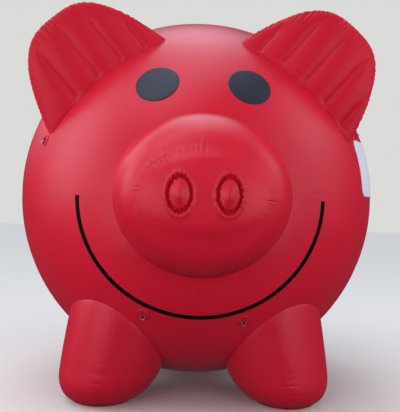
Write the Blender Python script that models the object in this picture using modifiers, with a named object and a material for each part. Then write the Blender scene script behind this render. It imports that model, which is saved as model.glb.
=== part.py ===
"""Large cold-air inflatable pig: a sewn fabric envelope on four stub legs, kept up by a floor blower.

Units are metres, +Z is up, the ground is z = 0 and the pig looks along -Y.
The skin pieces are modelled in a front frame whose X is right, Y is up and Z is forward, out of the
snout, so that they read as they do from the front. An empty turns that frame into the world.
"""
import math

import bmesh
import bpy
from mathutils import Matrix, Vector

for old_object in list(bpy.data.objects):
    bpy.data.objects.remove(old_object, do_unlink=True)

# Overall sizes
BODY_RADIUS = 1.55
BODY_REAR_LENGTH = 1.75
BODY_HEIGHT = 1.635
BODY_Y = -0.422
BODY_SIDES = 36
BODY_RINGS = 18
SKIN = 0.010
FIT = 0.0003

# Snout, in the front frame: forward is measured from the body's centre
SNOUT_RINGS = (
    # forward, half_width, half_height, centre_up
    (1.250, 0.488, 0.450, 0.006),
    (1.430, 0.564, 0.524, 0.006),
    (1.590, 0.589, 0.545, 0.010),
    (1.740, 0.573, 0.512, 0.012),
    (1.870, 0.505, 0.415, 0.014),
    (1.940, 0.410, 0.280, 0.016),
    (1.985, 0.300, 0.205, 0.016),
    (2.005, 0.160, 0.109, 0.016),
)
SNOUT_TIP = 2.010
TIP_HALF_WIDTH = 0.020
TIP_HALF_HEIGHT = 0.013
TIP_UP = 0.015
SNOUT_SEAM = 1.940
SNOUT_SIDES = 24
NOSTRIL_X = 0.150
NOSTRIL_UP = 0.016
NOSTRIL_HALF_WIDTH = 0.074
NOSTRIL_HALF_HEIGHT = 0.116
NOSTRIL_FLOOR = 1.900

# Face appliques
EYE_X = 0.331
EYE_UP = 0.805
EYE_HALF_WIDTH = 0.160
EYE_HALF_HEIGHT = 0.159
APPLIQUE = 0.003
SMILE_HALF_SPAN = 0.880
SMILE_DROP = 0.857
SMILE_WIDTH = 0.031
SMILE_STEPS = 32

# Ears
EAR_CENTRE_ANGLE = math.radians(41.0)
EAR_BASE_OUT = 1.240
EAR_BASE_FORWARD = 0.930
EAR_LEAN = math.radians(15.0)
EAR_LENGTH = 0.512
EAR_HALF_WIDTH = 0.536
EAR_END = 0.600
EAR_ROOT = -0.240
EAR_HALF_THICKNESS = 0.125
EAR_END_THICKNESS = 0.040
EAR_COLUMNS = 12
EAR_STEPS = 6

# Legs: heights are above the soles, x and y are from the body's centre
SOLE_THICKNESS = 0.010
SOLE_RADIUS = 0.243
LEG_RINGS = (
    # height, centre_x, centre_y, radius
    (0.000, 0.745, 0.680, 0.225),
    (0.012, 0.742, 0.680, 0.262),
    (0.045, 0.733, 0.680, 0.312),
    (0.093, 0.719, 0.680, 0.353),
    (0.150, 0.701, 0.681, 0.384),
    (0.210, 0.684, 0.682, 0.402),
    (0.290, 0.661, 0.684, 0.415),
    (0.440, 0.625, 0.695, 0.428),
    (0.740, 0.555, 0.720, 0.442),
    (1.040, 0.480, 0.740, 0.440),
)
LEG_SIDES = 20
REAR_LEG_SHIFT = 0.090
LEGS = (
    # name, side, toward_front
    ("front_left", 1, -1),
    ("front_right", -1, -1),
    ("rear_left", 1, 1),
    ("rear_right", -1, 1),
)

# Blank banner panel on the left flank
BANNER_FRONT = -0.850
BANNER_REAR = 0.430
BANNER_LOW = 0.045
BANNER_HIGH = 0.495
BANNER_CORNER = 0.060

# Tether points: directions from the body's centre in the front frame
TETHERS = (
    # name, right, up, forward
    ("front_left", 0.343, -0.901, 1.260),
    ("front_right", -0.405, -0.873, 1.262),
    ("side_left", 1.292, 0.580, 0.715),
    ("side_right", -1.233, 0.427, 0.904),
    ("rear_left", 0.900, 0.250, -1.250),
    ("rear_right", -0.900, 0.250, -1.250),
)
PATCH_RADIUS = 0.048
PATCH_THICKNESS = 0.005
TAB_WIDTH = 0.024
TAB_DEPTH = 0.016
TAB_HEIGHT = 0.018
TAB_SINK = 0.012
WIRE_HEIGHT = 0.011
RING_RADIUS = 0.017
RING_WIRE = 0.0035
RING_HANG = math.radians(70.0)

# Tail and rear vent
TAIL_COIL = 0.105
TAIL_REACH = 0.289
TAIL_ROOT = 0.060
TAIL_UP = 0.050
TAIL_TUBE = 0.042
TAIL_TURNS = 1.35
TAIL_STEPS = 22
VENT_HALF_LENGTH = 0.420
VENT_HALF_HEIGHT = 0.060
VENT_UP = -0.330
VENT_CORNER = 0.030

# Blower: placed from the body's centre along y; its axle runs along X
BLOWER_Y = 2.650
AXLE_HEIGHT = 0.270
SCROLL_START = 0.145
SCROLL_END = 0.215
SCROLL_WIDTH = 0.200
SCROLL_WALL = 0.005
OUTLET_REACH = 0.260
SIDE_FLANGE = 0.012
SIDE_PLATE = 0.005
INLET_RADIUS = 0.085
SHAFT_HOLE = 0.030
NOZZLE_RADIUS = 0.100
NOZZLE_WALL = 0.005
NOZZLE_PLATE = 0.012
NOZZLE_LENGTH = 0.140
NOZZLE_HEIGHT = AXLE_HEIGHT - SCROLL_END / 2
WHEEL_RADIUS = 0.112
WHEEL_DEPTH = 0.100
WHEEL_BLADES = 14
SHAFT_RADIUS = 0.008
MOTOR_RADIUS = 0.072
MOTOR_LENGTH = 0.125
BASE_HALF_WIDTH = 0.130
BASE_FRONT = -0.235
BASE_REAR = 0.180
BASE_THICKNESS = 0.012
PAD_RADIUS = 0.022
PAD_X = 0.105
PAD_PLACES = (-0.205, 0.150)
HANDLE_HALF_SPAN = 0.075
HANDLE_RISE = 0.225
HANDLE_ARCH = 0.030
HANDLE_RADIUS = 0.011
ROCKER_LOW = (0.070, 0.085)
ROCKER_HIGH = (0.095, 0.105)
ROCKER_DEPTH = 0.007
INLET_LOW = (0.104, 0.080)
INLET_HIGH = (0.136, 0.108)
INLET_DEPTH = 0.016
WELL_LOW = (0.108, 0.084)
WELL_HIGH = (0.132, 0.104)
WELL_FLOOR = 0.006
WELL_END = 0.050
SWITCH_BOX_LOW = (0.060, 0.060)
SWITCH_BOX_HIGH = (0.150, 0.130)
SWITCH_BOX_DEPTH = 0.055
GRILLE_RIM = 0.014
GRILLE_DEPTH = 0.006
GRILLE_GAPS = (
    # inner_radius, outer_radius
    (0.064, 0.084),
    (0.038, 0.058),
    (0.012, 0.032),
)

# Inlet sleeve: y from the body's centre, height above ground, outer radius
SLEEVE_RINGS = (
    # y, height, radius, pitch in degrees below the rear axis
    (1.170, 0.960, 0.165, 38.0),
    (1.430, 0.750, 0.165, 40.0),
    (1.620, 0.570, 0.158, 43.0),
    (1.790, 0.400, 0.148, 42.0),
    (1.960, 0.265, 0.134, 33.0),
    (2.110, 0.190, 0.120, 17.0),
    (2.230, NOZZLE_HEIGHT, NOZZLE_RADIUS + FIT + SKIN, 0.0),
    (2.372, NOZZLE_HEIGHT, NOZZLE_RADIUS + FIT + SKIN, 0.0),
)
SLEEVE_SIDES = 20
STRAP_START = 2.290
STRAP_END = 2.325
STRAP_THICKNESS = 0.004
BUCKLE_HALF_WIDTH = 0.020
BUCKLE_HEIGHT = 0.016
BUCKLE_OVERHANG = 0.005

model = bpy.data.collections.new("inflatable_pig")
bpy.context.scene.collection.children.link(model)
tools = bpy.data.collections.new("cutters")
bpy.context.scene.collection.children.link(tools)


def material(name, red, green, blue, roughness, metallic=0.0):
    """A Principled material of one plain colour."""
    made = bpy.data.materials.new(name)
    made.use_nodes = True
    shader = made.node_tree.nodes["Principled BSDF"]
    shader.inputs["Base Color"].default_value = (red, green, blue, 1.0)
    shader.inputs["Roughness"].default_value = roughness
    shader.inputs["Metallic"].default_value = metallic
    made.diffuse_color = (red, green, blue, 1.0)
    return made


def link(name, mesh, finish, parent, collection=model):
    """Put a mesh in the scene as one named object with its own copy of a finish."""
    made = bpy.data.objects.new(name, mesh)
    collection.objects.link(made)
    made.parent = parent
    if collection is tools:
        made.hide_render = True
        made.display_type = "WIRE"
    else:
        own_finish = finish.copy()
        own_finish.name = name + "_finish"
        mesh.materials.clear()
        mesh.materials.append(own_finish)
    return made


def empty(name, location, turn=(0.0, 0.0, 0.0)):
    """A frame that other objects hang on."""
    made = bpy.data.objects.new(name, None)
    model.objects.link(made)
    made.location = location
    made.rotation_euler = turn
    return made


def finish_mesh(shape, name, smooth=True):
    """Write a bmesh to a new mesh and shade it."""
    mesh = bpy.data.meshes.new(name)
    shape.to_mesh(mesh)
    shape.free()
    if smooth:
        mesh.shade_smooth()
        mesh.set_sharp_from_angle(angle=math.radians(40.0))
    return mesh


def loft(name, rings, cap_first=False, cap_last=False, closed=True):
    """Join rings of points of equal length by quads, facing away from each ring's middle."""
    shape = bmesh.new()
    rows = [[shape.verts.new(point) for point in ring] for ring in rings]
    count = len(rows[0])
    spans = count if closed else count - 1
    for near, far in zip(rows, rows[1:]):
        for step in range(spans):
            following = (step + 1) % count
            shape.faces.new((near[step], near[following], far[following], far[step]))
    if cap_first:
        shape.faces.new(rows[0])
    if cap_last:
        shape.faces.new(rows[-1])
    bmesh.ops.recalc_face_normals(shape, faces=shape.faces)
    middle_row = rings[len(rings) // 2]
    middle = sum((Vector(point) for point in middle_row), Vector()) / count
    shape.faces.ensure_lookup_table()
    outward = 0.0
    for face in shape.faces:
        outward += face.normal.dot(face.calc_center_median() - middle) * face.calc_area()
    if outward < 0.0:
        bmesh.ops.reverse_faces(shape, faces=shape.faces)
    return finish_mesh(shape, name)


def prism(name, outline, low, high, axis="Z"):
    """A flat outline pulled from low to high along an axis, closed at both ends."""
    place = {
        "X": lambda a, b, depth: (depth, a, b),
        "Y": lambda a, b, depth: (a, depth, b),
        "Z": lambda a, b, depth: (a, b, depth),
    }[axis]
    shape = bmesh.new()
    bottom = [shape.verts.new(place(a, b, low)) for a, b in outline]
    top = [shape.verts.new(place(a, b, high)) for a, b in outline]
    shape.faces.new(bottom)
    shape.faces.new(top)
    for step in range(len(outline)):
        following = (step + 1) % len(outline)
        shape.faces.new((bottom[step], bottom[following], top[following], top[step]))
    bmesh.ops.recalc_face_normals(shape, faces=shape.faces)
    return finish_mesh(shape, name)


def ellipse(half_width, half_height, sides, centre=(0.0, 0.0)):
    """Points of an ellipse in a plane."""
    points = []
    for step in range(sides):
        angle = 2.0 * math.pi * step / sides
        points.append((centre[0] + half_width * math.cos(angle), centre[1] + half_height * math.sin(angle)))
    return points


def rounded_box(low_a, high_a, low_b, high_b, corner, steps=4):
    """Points of a rectangle with round corners."""
    points = []
    corners = (
        (high_a - corner, high_b - corner, 0.0),
        (low_a + corner, high_b - corner, 90.0),
        (low_a + corner, low_b + corner, 180.0),
        (high_a - corner, low_b + corner, 270.0),
    )
    for centre_a, centre_b, start in corners:
        for step in range(steps + 1):
            angle = math.radians(start + 90.0 * step / steps)
            points.append((centre_a + corner * math.cos(angle), centre_b + corner * math.sin(angle)))
    return points


def box(name, low, high):
    """A plain box between two corners."""
    shape = bmesh.new()
    middle = [(a + b) / 2.0 for a, b in zip(low, high)]
    size = [b - a for a, b in zip(low, high)]
    placed = Matrix.Translation(middle) @ Matrix.Diagonal((*size, 1.0))
    bmesh.ops.create_cube(shape, size=1.0, matrix=placed)
    return finish_mesh(shape, name, smooth=False)


def cylinder(name, radius, low, high, axis, centre=(0.0, 0.0), sides=24):
    """A closed cylinder along an axis; centre gives its place in the other two directions."""
    turn = {
        "X": Matrix.Rotation(math.pi / 2.0, 4, "Y"),
        "Y": Matrix.Rotation(-math.pi / 2.0, 4, "X"),
        "Z": Matrix.Identity(4),
    }[axis]
    middle = {
        "X": ((low + high) / 2.0, centre[0], centre[1]),
        "Y": (centre[0], (low + high) / 2.0, centre[1]),
        "Z": (centre[0], centre[1], (low + high) / 2.0),
    }[axis]
    shape = bmesh.new()
    bmesh.ops.create_cone(
        shape,
        cap_ends=True,
        segments=sides,
        radius1=radius,
        radius2=radius,
        depth=high - low,
        matrix=Matrix.Translation(middle) @ turn,
    )
    return finish_mesh(shape, name)


def thicken(target, thickness, offset=-1.0):
    """Give a surface a wall; an offset of -1 keeps its outer side in place."""
    wall = target.modifiers.new("wall", "SOLIDIFY")
    wall.thickness = thickness
    wall.offset = offset


def boolean(target, cutter, operation="DIFFERENCE"):
    """Cut, keep or join one solid with another."""
    step = target.modifiers.new(operation.lower() + "_" + cutter.name, "BOOLEAN")
    step.operation = operation
    step.solver = "EXACT"
    step.object = cutter


def screw(target, sides):
    """Turn a profile round its local Z axis."""
    turned = target.modifiers.new("turn", "SCREW")
    turned.axis = "Z"
    turned.steps = sides
    turned.render_steps = sides
    turned.use_merge_vertices = True
    turned.merge_threshold = 0.0001
    turned.use_smooth_shade = True


def profile_mesh(name, points):
    """An open profile of (radius, height) points in the XZ plane."""
    shape = bmesh.new()
    corners = [shape.verts.new((radius, 0.0, height)) for radius, height in points]
    for near, far in zip(corners, corners[1:]):
        shape.edges.new((near, far))
    return finish_mesh(shape, name, smooth=False)


def tube_mesh(name, points, radius, resolution):
    """A round solid bar along a line of points, with welded ends."""
    line = bpy.data.curves.new(name, "CURVE")
    line.dimensions = "3D"
    line.bevel_depth = radius
    line.bevel_resolution = resolution
    line.use_fill_caps = True
    spline = line.splines.new("POLY")
    spline.points.add(len(points) - 1)
    for slot, point in zip(spline.points, points):
        slot.co = (*point, 1.0)
    holder = bpy.data.objects.new(name + "_curve", line)
    tools.objects.link(holder)
    bpy.context.view_layer.update()
    evaluated = holder.evaluated_get(bpy.context.evaluated_depsgraph_get())
    mesh = bpy.data.meshes.new_from_object(evaluated)
    bpy.data.objects.remove(holder, do_unlink=True)
    shape = bmesh.new()
    shape.from_mesh(mesh)
    bmesh.ops.remove_doubles(shape, verts=shape.verts, dist=0.0001)
    bmesh.ops.recalc_face_normals(shape, faces=shape.faces)
    return finish_mesh(shape, name)


red_fabric = material("red_fabric", 0.56, 0.012, 0.030, 0.38)
deep_red_fabric = material("deep_red_fabric", 0.40, 0.008, 0.020, 0.45)
dark_vinyl = material("dark_vinyl", 0.030, 0.038, 0.050, 0.35)
black_vinyl = material("black_vinyl", 0.004, 0.004, 0.004, 0.40)
white_vinyl = material("white_vinyl", 0.80, 0.80, 0.78, 0.40)
webbing = material("webbing", 0.40, 0.010, 0.020, 0.80)
steel = material("steel", 0.62, 0.62, 0.60, 0.30, 1.0)
blue_plastic = material("blue_plastic", 0.020, 0.060, 0.180, 0.45)
black_plastic = material("black_plastic", 0.015, 0.015, 0.016, 0.50)
grey_metal = material("grey_metal", 0.30, 0.31, 0.32, 0.45, 1.0)
black_rubber = material("black_rubber", 0.012, 0.012, 0.012, 0.80)

front = empty("front_frame", (0.0, BODY_Y, BODY_HEIGHT), (math.pi / 2.0, 0.0, 0.0))
ground = empty("ground_frame", (0.0, BODY_Y, 0.0))
blower = empty("blower_frame", (0.0, BODY_Y + BLOWER_Y, AXLE_HEIGHT))
wheel_axle = empty("wheel_axle", (0.0, BODY_Y + BLOWER_Y, AXLE_HEIGHT))


def body_profile(grown):
    """The body's profile from snout pole to tail pole, grown outward by a distance."""
    points = []
    for ring in range(BODY_RINGS + 1):
        angle = math.pi * ring / BODY_RINGS
        length = BODY_RADIUS if angle <= math.pi / 2.0 else BODY_REAR_LENGTH
        radius = BODY_RADIUS * math.sin(angle)
        forward = length * math.cos(angle)
        normal = Vector((math.sin(angle) / BODY_RADIUS, math.cos(angle) / length)).normalized()
        if ring in (0, BODY_RINGS):
            points.append((0.0, forward + math.copysign(grown, forward)))
        else:
            points.append((radius + grown * normal.x, forward + grown * normal.y))
    return points


def body_form(name, grown):
    """The body's closed outer form, a cutter for what is sewn onto it."""
    form = link(name, profile_mesh(name, body_profile(grown)), None, front, tools)
    screw(form, BODY_SIDES)
    return form


def sewn_on_body(target):
    """End a hollow piece in a rim that lies on the body's skin."""
    boolean(target, body_seat)


def applique(name, outline_mesh, finish, thickness, turn=None):
    """A thin piece of skin that follows the body under a prism's outline."""
    piece = link(name, outline_mesh, finish, front)
    if turn is not None:
        piece.matrix_local = turn
    boolean(piece, body_over[thickness], "INTERSECT")
    boolean(piece, body_seat)
    return piece


body_seat = body_form("body_seat_cutter", FIT)
body_over = {
    APPLIQUE: body_form("body_over_applique", FIT + APPLIQUE),
    PATCH_THICKNESS: body_form("body_over_patch", FIT + PATCH_THICKNESS),
}


def on_surface(right, up, forward):
    """The point of the body's outer form in a direction from its centre, and the normal there."""
    length = BODY_RADIUS if forward >= 0.0 else BODY_REAR_LENGTH
    across = Vector((right / BODY_RADIUS, up / BODY_RADIUS, forward / length))
    point = Vector((right, up, forward)) / across.length
    normal = Vector((point.x / BODY_RADIUS ** 2, point.y / BODY_RADIUS ** 2, point.z / length ** 2))
    return point, normal.normalized()


def standing_at(point, normal, upright):
    """A frame at a point whose Z is the normal and whose Y leans toward an upright direction."""
    side = Vector(upright).cross(normal).normalized()
    rise = normal.cross(side)
    turn = Matrix((side, rise, normal)).transposed().to_4x4()
    return Matrix.Translation(point) @ turn


def make_envelope():
    """Body skin with the air port under its tail."""
    mesh = profile_mesh("body_envelope", body_profile(0.0))
    skin = link("body_envelope", mesh, red_fabric, front)
    screw(skin, BODY_SIDES)
    thicken(skin, SKIN)
    port = link("air_port_cutter", sleeve_form("air_port_cutter", -SKIN, 3), None, ground, tools)
    boolean(skin, port)


def sleeve_form(name, grown, count):
    """A closed solid along the first rings of the inlet sleeve."""
    rings = sleeve_rings(grown)[:count]
    return loft(name, rings, cap_first=True, cap_last=True)


def sleeve_rings(grown):
    """Circles along the inlet sleeve, grown by a distance."""
    rings = []
    for y, height, radius, pitch in SLEEVE_RINGS:
        fall = math.radians(pitch)
        ring = []
        for across, rise in ellipse(radius + grown, radius + grown, SLEEVE_SIDES):
            ring.append((across, y + rise * math.sin(fall), height + rise * math.cos(fall)))
        rings.append(ring)
    return rings


def make_snout():
    """Snout side wall, its front panel and the two nostril wells."""
    rings = []
    for forward, half_width, half_height, up in SNOUT_RINGS:
        points = ellipse(half_width, half_height, SNOUT_SIDES, (0.0, up))
        rings.append([(right, rise, forward) for right, rise in points])
    tip = ellipse(TIP_HALF_WIDTH, TIP_HALF_HEIGHT, SNOUT_SIDES, (0.0, TIP_UP))
    rings.append([(right, rise, SNOUT_TIP) for right, rise in tip])
    solid = link("snout_form_cutter", loft("snout_form_cutter", rings, True, True), None, front, tools)
    behind = link("behind_seam", box("behind_seam", (-1, -1, 1.0), (1, 1, SNOUT_SEAM)), None, front, tools)
    ahead = link("ahead_of_seam", box("ahead_of_seam", (-1, -1, SNOUT_SEAM + FIT), (1, 1, 2.5)), None,
                 front, tools)
    wall = link("snout_wall", loft("snout_wall", rings, False, True), red_fabric, front)
    thicken(wall, SKIN)
    boolean(wall, behind, "INTERSECT")
    sewn_on_body(wall)
    face = link("snout_face", loft("snout_face", rings, False, True), red_fabric, front)
    thicken(face, SKIN)
    boolean(face, ahead, "INTERSECT")
    for name, side in (("left", 1), ("right", -1)):
        centre = (side * NOSTRIL_X, NOSTRIL_UP)
        around = ellipse(NOSTRIL_HALF_WIDTH + FIT, NOSTRIL_HALF_HEIGHT + FIT, 20, centre)
        outer = ellipse(NOSTRIL_HALF_WIDTH, NOSTRIL_HALF_HEIGHT, 20, centre)
        inner = ellipse(NOSTRIL_HALF_WIDTH - SKIN, NOSTRIL_HALF_HEIGHT - SKIN, 20, centre)
        hole_name = "nostril_hole_" + name
        hole = link(hole_name, prism(hole_name, around, 1.7, 2.3), None, front, tools)
        boolean(face, hole)
        well_name = "nostril_well_" + name
        well = link(well_name, prism(well_name, outer, NOSTRIL_FLOOR, 2.3), deep_red_fabric, front)
        hollow_name = "nostril_hollow_" + name
        hollow_mesh = prism(hollow_name, inner, NOSTRIL_FLOOR + SKIN, 2.4)
        hollow = link(hollow_name, hollow_mesh, None, front, tools)
        boolean(well, solid, "INTERSECT")
        boolean(well, hollow)


def make_eyes():
    """Two oval eye patches, each laid square on the skin."""
    for name, side in (("left", 1), ("right", -1)):
        forward = math.sqrt(BODY_RADIUS ** 2 - EYE_X ** 2 - EYE_UP ** 2)
        point, normal = on_surface(side * EYE_X, EYE_UP, forward)
        outline = ellipse(EYE_HALF_WIDTH, EYE_HALF_HEIGHT, 28)
        mesh = prism("eye_" + name, outline, -0.2, 0.2)
        outward = (point.x, point.y, 0.0)
        applique("eye_" + name, mesh, dark_vinyl, APPLIQUE, standing_at(point, normal, outward))


def make_smile():
    """The smile: half of an oval ring, seen from the front."""
    outline = []
    for grown, turn in ((SMILE_WIDTH / 2.0, 1), (-SMILE_WIDTH / 2.0, -1)):
        arc = []
        for step in range(SMILE_STEPS + 1):
            angle = math.pi * (1.0 + step / SMILE_STEPS)
            right = (SMILE_HALF_SPAN + grown) * math.cos(angle)
            up = (SMILE_DROP + grown) * math.sin(angle)
            arc.append((right, up))
        outline.extend(arc[::turn])
    applique("smile", prism("smile", outline, 0.9, 1.7), black_vinyl, APPLIQUE)


def make_banner():
    """Blank panel on the left flank."""
    outline = rounded_box(BANNER_LOW, BANNER_HIGH, -BANNER_REAR, -BANNER_FRONT, BANNER_CORNER)
    applique("banner_panel", prism("banner_panel", outline, 0.9, 1.8, "X"), white_vinyl, APPLIQUE)


def ear_section(along):
    """The ear's section at a place along its base: root, round the rim and back, as (out, fore)."""
    share = min(1.0, abs(along) / EAR_END)
    rim = EAR_LENGTH * (1.0 - (abs(along) / EAR_HALF_WIDTH) ** 3)
    half = EAR_END_THICKNESS + (EAR_HALF_THICKNESS - EAR_END_THICKNESS) * (1.0 - share ** 2)
    reach = rim - EAR_ROOT
    points = []
    for step in range(-EAR_STEPS, EAR_STEPS + 1):
        angle = math.pi / 2.0 * step / EAR_STEPS
        out = EAR_ROOT + reach * abs(math.cos(angle)) ** 0.7
        fore = half * math.sin(angle)
        points.append((out, fore))
    return points


def make_ears():
    """Two pillow ears that stand on the body's shoulder line."""
    for name, side in (("left", 1), ("right", -1)):
        radial = Vector((side * math.sin(EAR_CENTRE_ANGLE), math.cos(EAR_CENTRE_ANGLE), 0.0))
        along = Vector((radial.y, -radial.x, 0.0)) * side
        forward = Vector((0.0, 0.0, 1.0))
        out = radial * math.cos(EAR_LEAN) + forward * math.sin(EAR_LEAN)
        fore = forward * math.cos(EAR_LEAN) - radial * math.sin(EAR_LEAN)
        base = radial * EAR_BASE_OUT + forward * EAR_BASE_FORWARD
        rings = []
        for column in range(EAR_COLUMNS + 1):
            place = EAR_END * math.sin(math.pi / 2.0 * (2.0 * column / EAR_COLUMNS - 1.0))
            ring = []
            for reach, depth in ear_section(place):
                ring.append(base + along * place + out * reach + fore * depth)
            rings.append(ring)
        ear = link("ear_" + name, loft("ear_" + name, rings, closed=False), red_fabric, front)
        thicken(ear, SKIN)
        sewn_on_body(ear)


def make_legs():
    """Four stub legs, each a skin open at both ends, with a sole under it."""
    for name, side, rear in LEGS:
        shift = REAR_LEG_SHIFT if rear > 0 else 0.0
        foot_x = LEG_RINGS[0][1]
        foot_y = LEG_RINGS[0][2]
        rings = []
        for height, centre_x, centre_y, radius in LEG_RINGS:
            centre = (side * centre_x, rear * (centre_y + shift))
            level = SOLE_THICKNESS + FIT + height
            rings.append([(x, y, level) for x, y in ellipse(radius, radius, LEG_SIDES, centre)])
        leg = link("leg_" + name, loft("leg_" + name, rings), red_fabric, ground)
        thicken(leg, SKIN)
        boolean(leg, leg_trim)
        sewn_on_body(leg)
        centre = (side * foot_x, rear * (foot_y + shift))
        sole_mesh = cylinder("sole_" + name, SOLE_RADIUS, 0.0, SOLE_THICKNESS, "Z", centre, LEG_SIDES)
        link("sole_" + name, sole_mesh, deep_red_fabric, ground)


leg_trim_mesh = box("leg_trim", (-2.0, -2.0, -0.2), (2.0, 2.0, SOLE_THICKNESS + FIT))
leg_trim = link("leg_trim", leg_trim_mesh, None, ground, tools)


def make_tethers():
    """Tether points: a patch with a webbing tab, and the ring that runs through the tab."""
    for name, right, up, forward in TETHERS:
        point, normal = on_surface(right, up, forward)
        stand = standing_at(point, normal, (0.0, 1.0, 0.0))
        disc = prism("tether_patch_" + name, ellipse(PATCH_RADIUS, PATCH_RADIUS, 16), -0.05, 0.05)
        patch = applique("tether_patch_" + name, disc, webbing, PATCH_THICKNESS, stand)
        tab_low = (-TAB_WIDTH / 2.0, -TAB_DEPTH / 2.0, -TAB_SINK)
        tab_high = (TAB_WIDTH / 2.0, TAB_DEPTH / 2.0, TAB_HEIGHT)
        tab = link("tab_" + name, box("tab_" + name, tab_low, tab_high), None, front, tools)
        tab.matrix_local = stand
        boolean(tab, body_seat)
        boolean(patch, tab, "UNION")
        hanging = Matrix.Translation((0.0, 0.0, WIRE_HEIGHT)) @ Matrix.Rotation(RING_HANG, 4, "X")
        on_edge = Matrix.Translation((0.0, 0.0, RING_RADIUS)) @ Matrix.Rotation(math.pi / 2.0, 4, "X")
        ring_place = stand @ hanging @ on_edge
        slot = link("slot_" + name, torus("slot_" + name, RING_RADIUS, RING_WIRE + FIT), None, front, tools)
        slot.matrix_local = ring_place
        boolean(patch, slot)
        ring = link("tether_ring_" + name, torus("tether_ring_" + name, RING_RADIUS, RING_WIRE), steel, front)
        ring.matrix_local = ring_place


def torus(name, radius, wire):
    """A ring of round wire about its local Z axis."""
    bpy.ops.mesh.primitive_torus_add(
        major_segments=12,
        minor_segments=6,
        major_radius=radius,
        minor_radius=wire,
    )
    made = bpy.context.object
    mesh = made.data
    mesh.name = name
    bpy.data.objects.remove(made, do_unlink=True)
    mesh.shade_smooth()
    return mesh


def make_tail():
    """Curly tail that leaves the rear pole and winds once round."""
    points = []
    for step in range(TAIL_STEPS + 1):
        share = step / TAIL_STEPS
        angle = 2.0 * math.pi * TAIL_TURNS * share - math.pi / 2.0
        swell = min(1.0, share * 3.0)
        points.append((
            TAIL_COIL * swell * math.cos(angle),
            TAIL_COIL * swell * (math.sin(angle) + 0.6) + TAIL_UP,
            -(BODY_REAR_LENGTH - TAIL_ROOT + TAIL_REACH * share),
        ))
    tail = link("tail", tube_mesh("tail", points, TAIL_TUBE, 2), red_fabric, front)
    sewn_on_body(tail)


def make_vent():
    """Flap over the zip that lets the air out, low on the rear."""
    outline = rounded_box(-VENT_HALF_LENGTH, VENT_HALF_LENGTH, VENT_UP - VENT_HALF_HEIGHT,
                          VENT_UP + VENT_HALF_HEIGHT, VENT_CORNER, 2)
    applique("vent_flap", prism("vent_flap", outline, -1.9, -1.2), deep_red_fabric, APPLIQUE)


def make_sleeve():
    """Inlet sleeve from the body's port to the blower's nozzle, and the strap that holds it."""
    sleeve = link("inlet_sleeve", loft("inlet_sleeve", sleeve_rings(0.0)), red_fabric, ground)
    thicken(sleeve, SKIN)
    sewn_on_body(sleeve)
    inner = NOZZLE_RADIUS + 2.0 * FIT + SKIN
    centre = (0.0, NOZZLE_HEIGHT)
    outer = inner + STRAP_THICKNESS
    band_mesh = cylinder("sleeve_strap", outer, STRAP_START, STRAP_END, "Y", centre, SLEEVE_SIDES * 2)
    band = link("sleeve_strap", band_mesh, black_plastic, ground)
    buckle_low = (-BUCKLE_HALF_WIDTH, STRAP_START - BUCKLE_OVERHANG, NOZZLE_HEIGHT + inner)
    buckle_high = (BUCKLE_HALF_WIDTH, STRAP_END + BUCKLE_OVERHANG, NOZZLE_HEIGHT + inner + BUCKLE_HEIGHT)
    buckle = link("buckle", box("buckle", buckle_low, buckle_high), None, ground, tools)
    boolean(band, buckle, "UNION")
    hole_mesh = cylinder("strap_hole", inner, 2.2, 2.4, "Y", centre, SLEEVE_SIDES)
    hole = link("strap_hole", hole_mesh, None, ground, tools)
    boolean(band, hole)


def scroll_line(grown):
    """The scroll's line in the YZ plane, from the outlet's top, round the wheel, to its bottom."""
    points = [(-OUTLET_REACH, grown)]
    steps = 24
    for step in range(steps + 1):
        angle = math.radians(270.0 * step / steps)
        radius = SCROLL_START + (SCROLL_END - SCROLL_START) * step / steps + grown
        points.append((-radius * math.cos(angle), radius * math.sin(angle)))
    points.append((-OUTLET_REACH, -SCROLL_END - grown))
    return points


def make_blower():
    """Blower housing: scroll wall, two sides, grille, nozzle, motor, base, handle and switch box."""
    half = SCROLL_WIDTH / 2.0
    strip = bmesh.new()
    lower = [strip.verts.new((-half, y, z)) for y, z in scroll_line(0.0)]
    upper = [strip.verts.new((half, y, z)) for y, z in scroll_line(0.0)]
    for step in range(len(lower) - 1):
        strip.faces.new((lower[step], lower[step + 1], upper[step + 1], upper[step]))
    scroll = link("blower_scroll", finish_mesh(strip, "blower_scroll"), blue_plastic, blower)
    thicken(scroll, SCROLL_WALL, 0.0)

    outline = scroll_line(SIDE_FLANGE)
    near = half + FIT
    far = near + SIDE_PLATE
    inlet = link("inlet_hole", cylinder("inlet_hole", INLET_RADIUS, -far - 0.1, 0.0, "X"), None, blower, tools)
    bore = link("shaft_hole", cylinder("shaft_hole", SHAFT_HOLE, 0.0, far + 0.1, "X"), None, blower, tools)
    left = link("blower_side_inlet", prism("blower_side_inlet", outline, -far, -near, "X"), blue_plastic, blower)
    boolean(left, inlet)
    right = link("blower_side_motor", prism("blower_side_motor", outline, near, far, "X"), blue_plastic, blower)
    boolean(right, bore)

    make_grille(-far - FIT)
    make_nozzle()
    make_motor(far + FIT)
    make_wheel(far + FIT)
    make_base()
    make_handle()
    make_switch_box(far + FIT)


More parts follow.
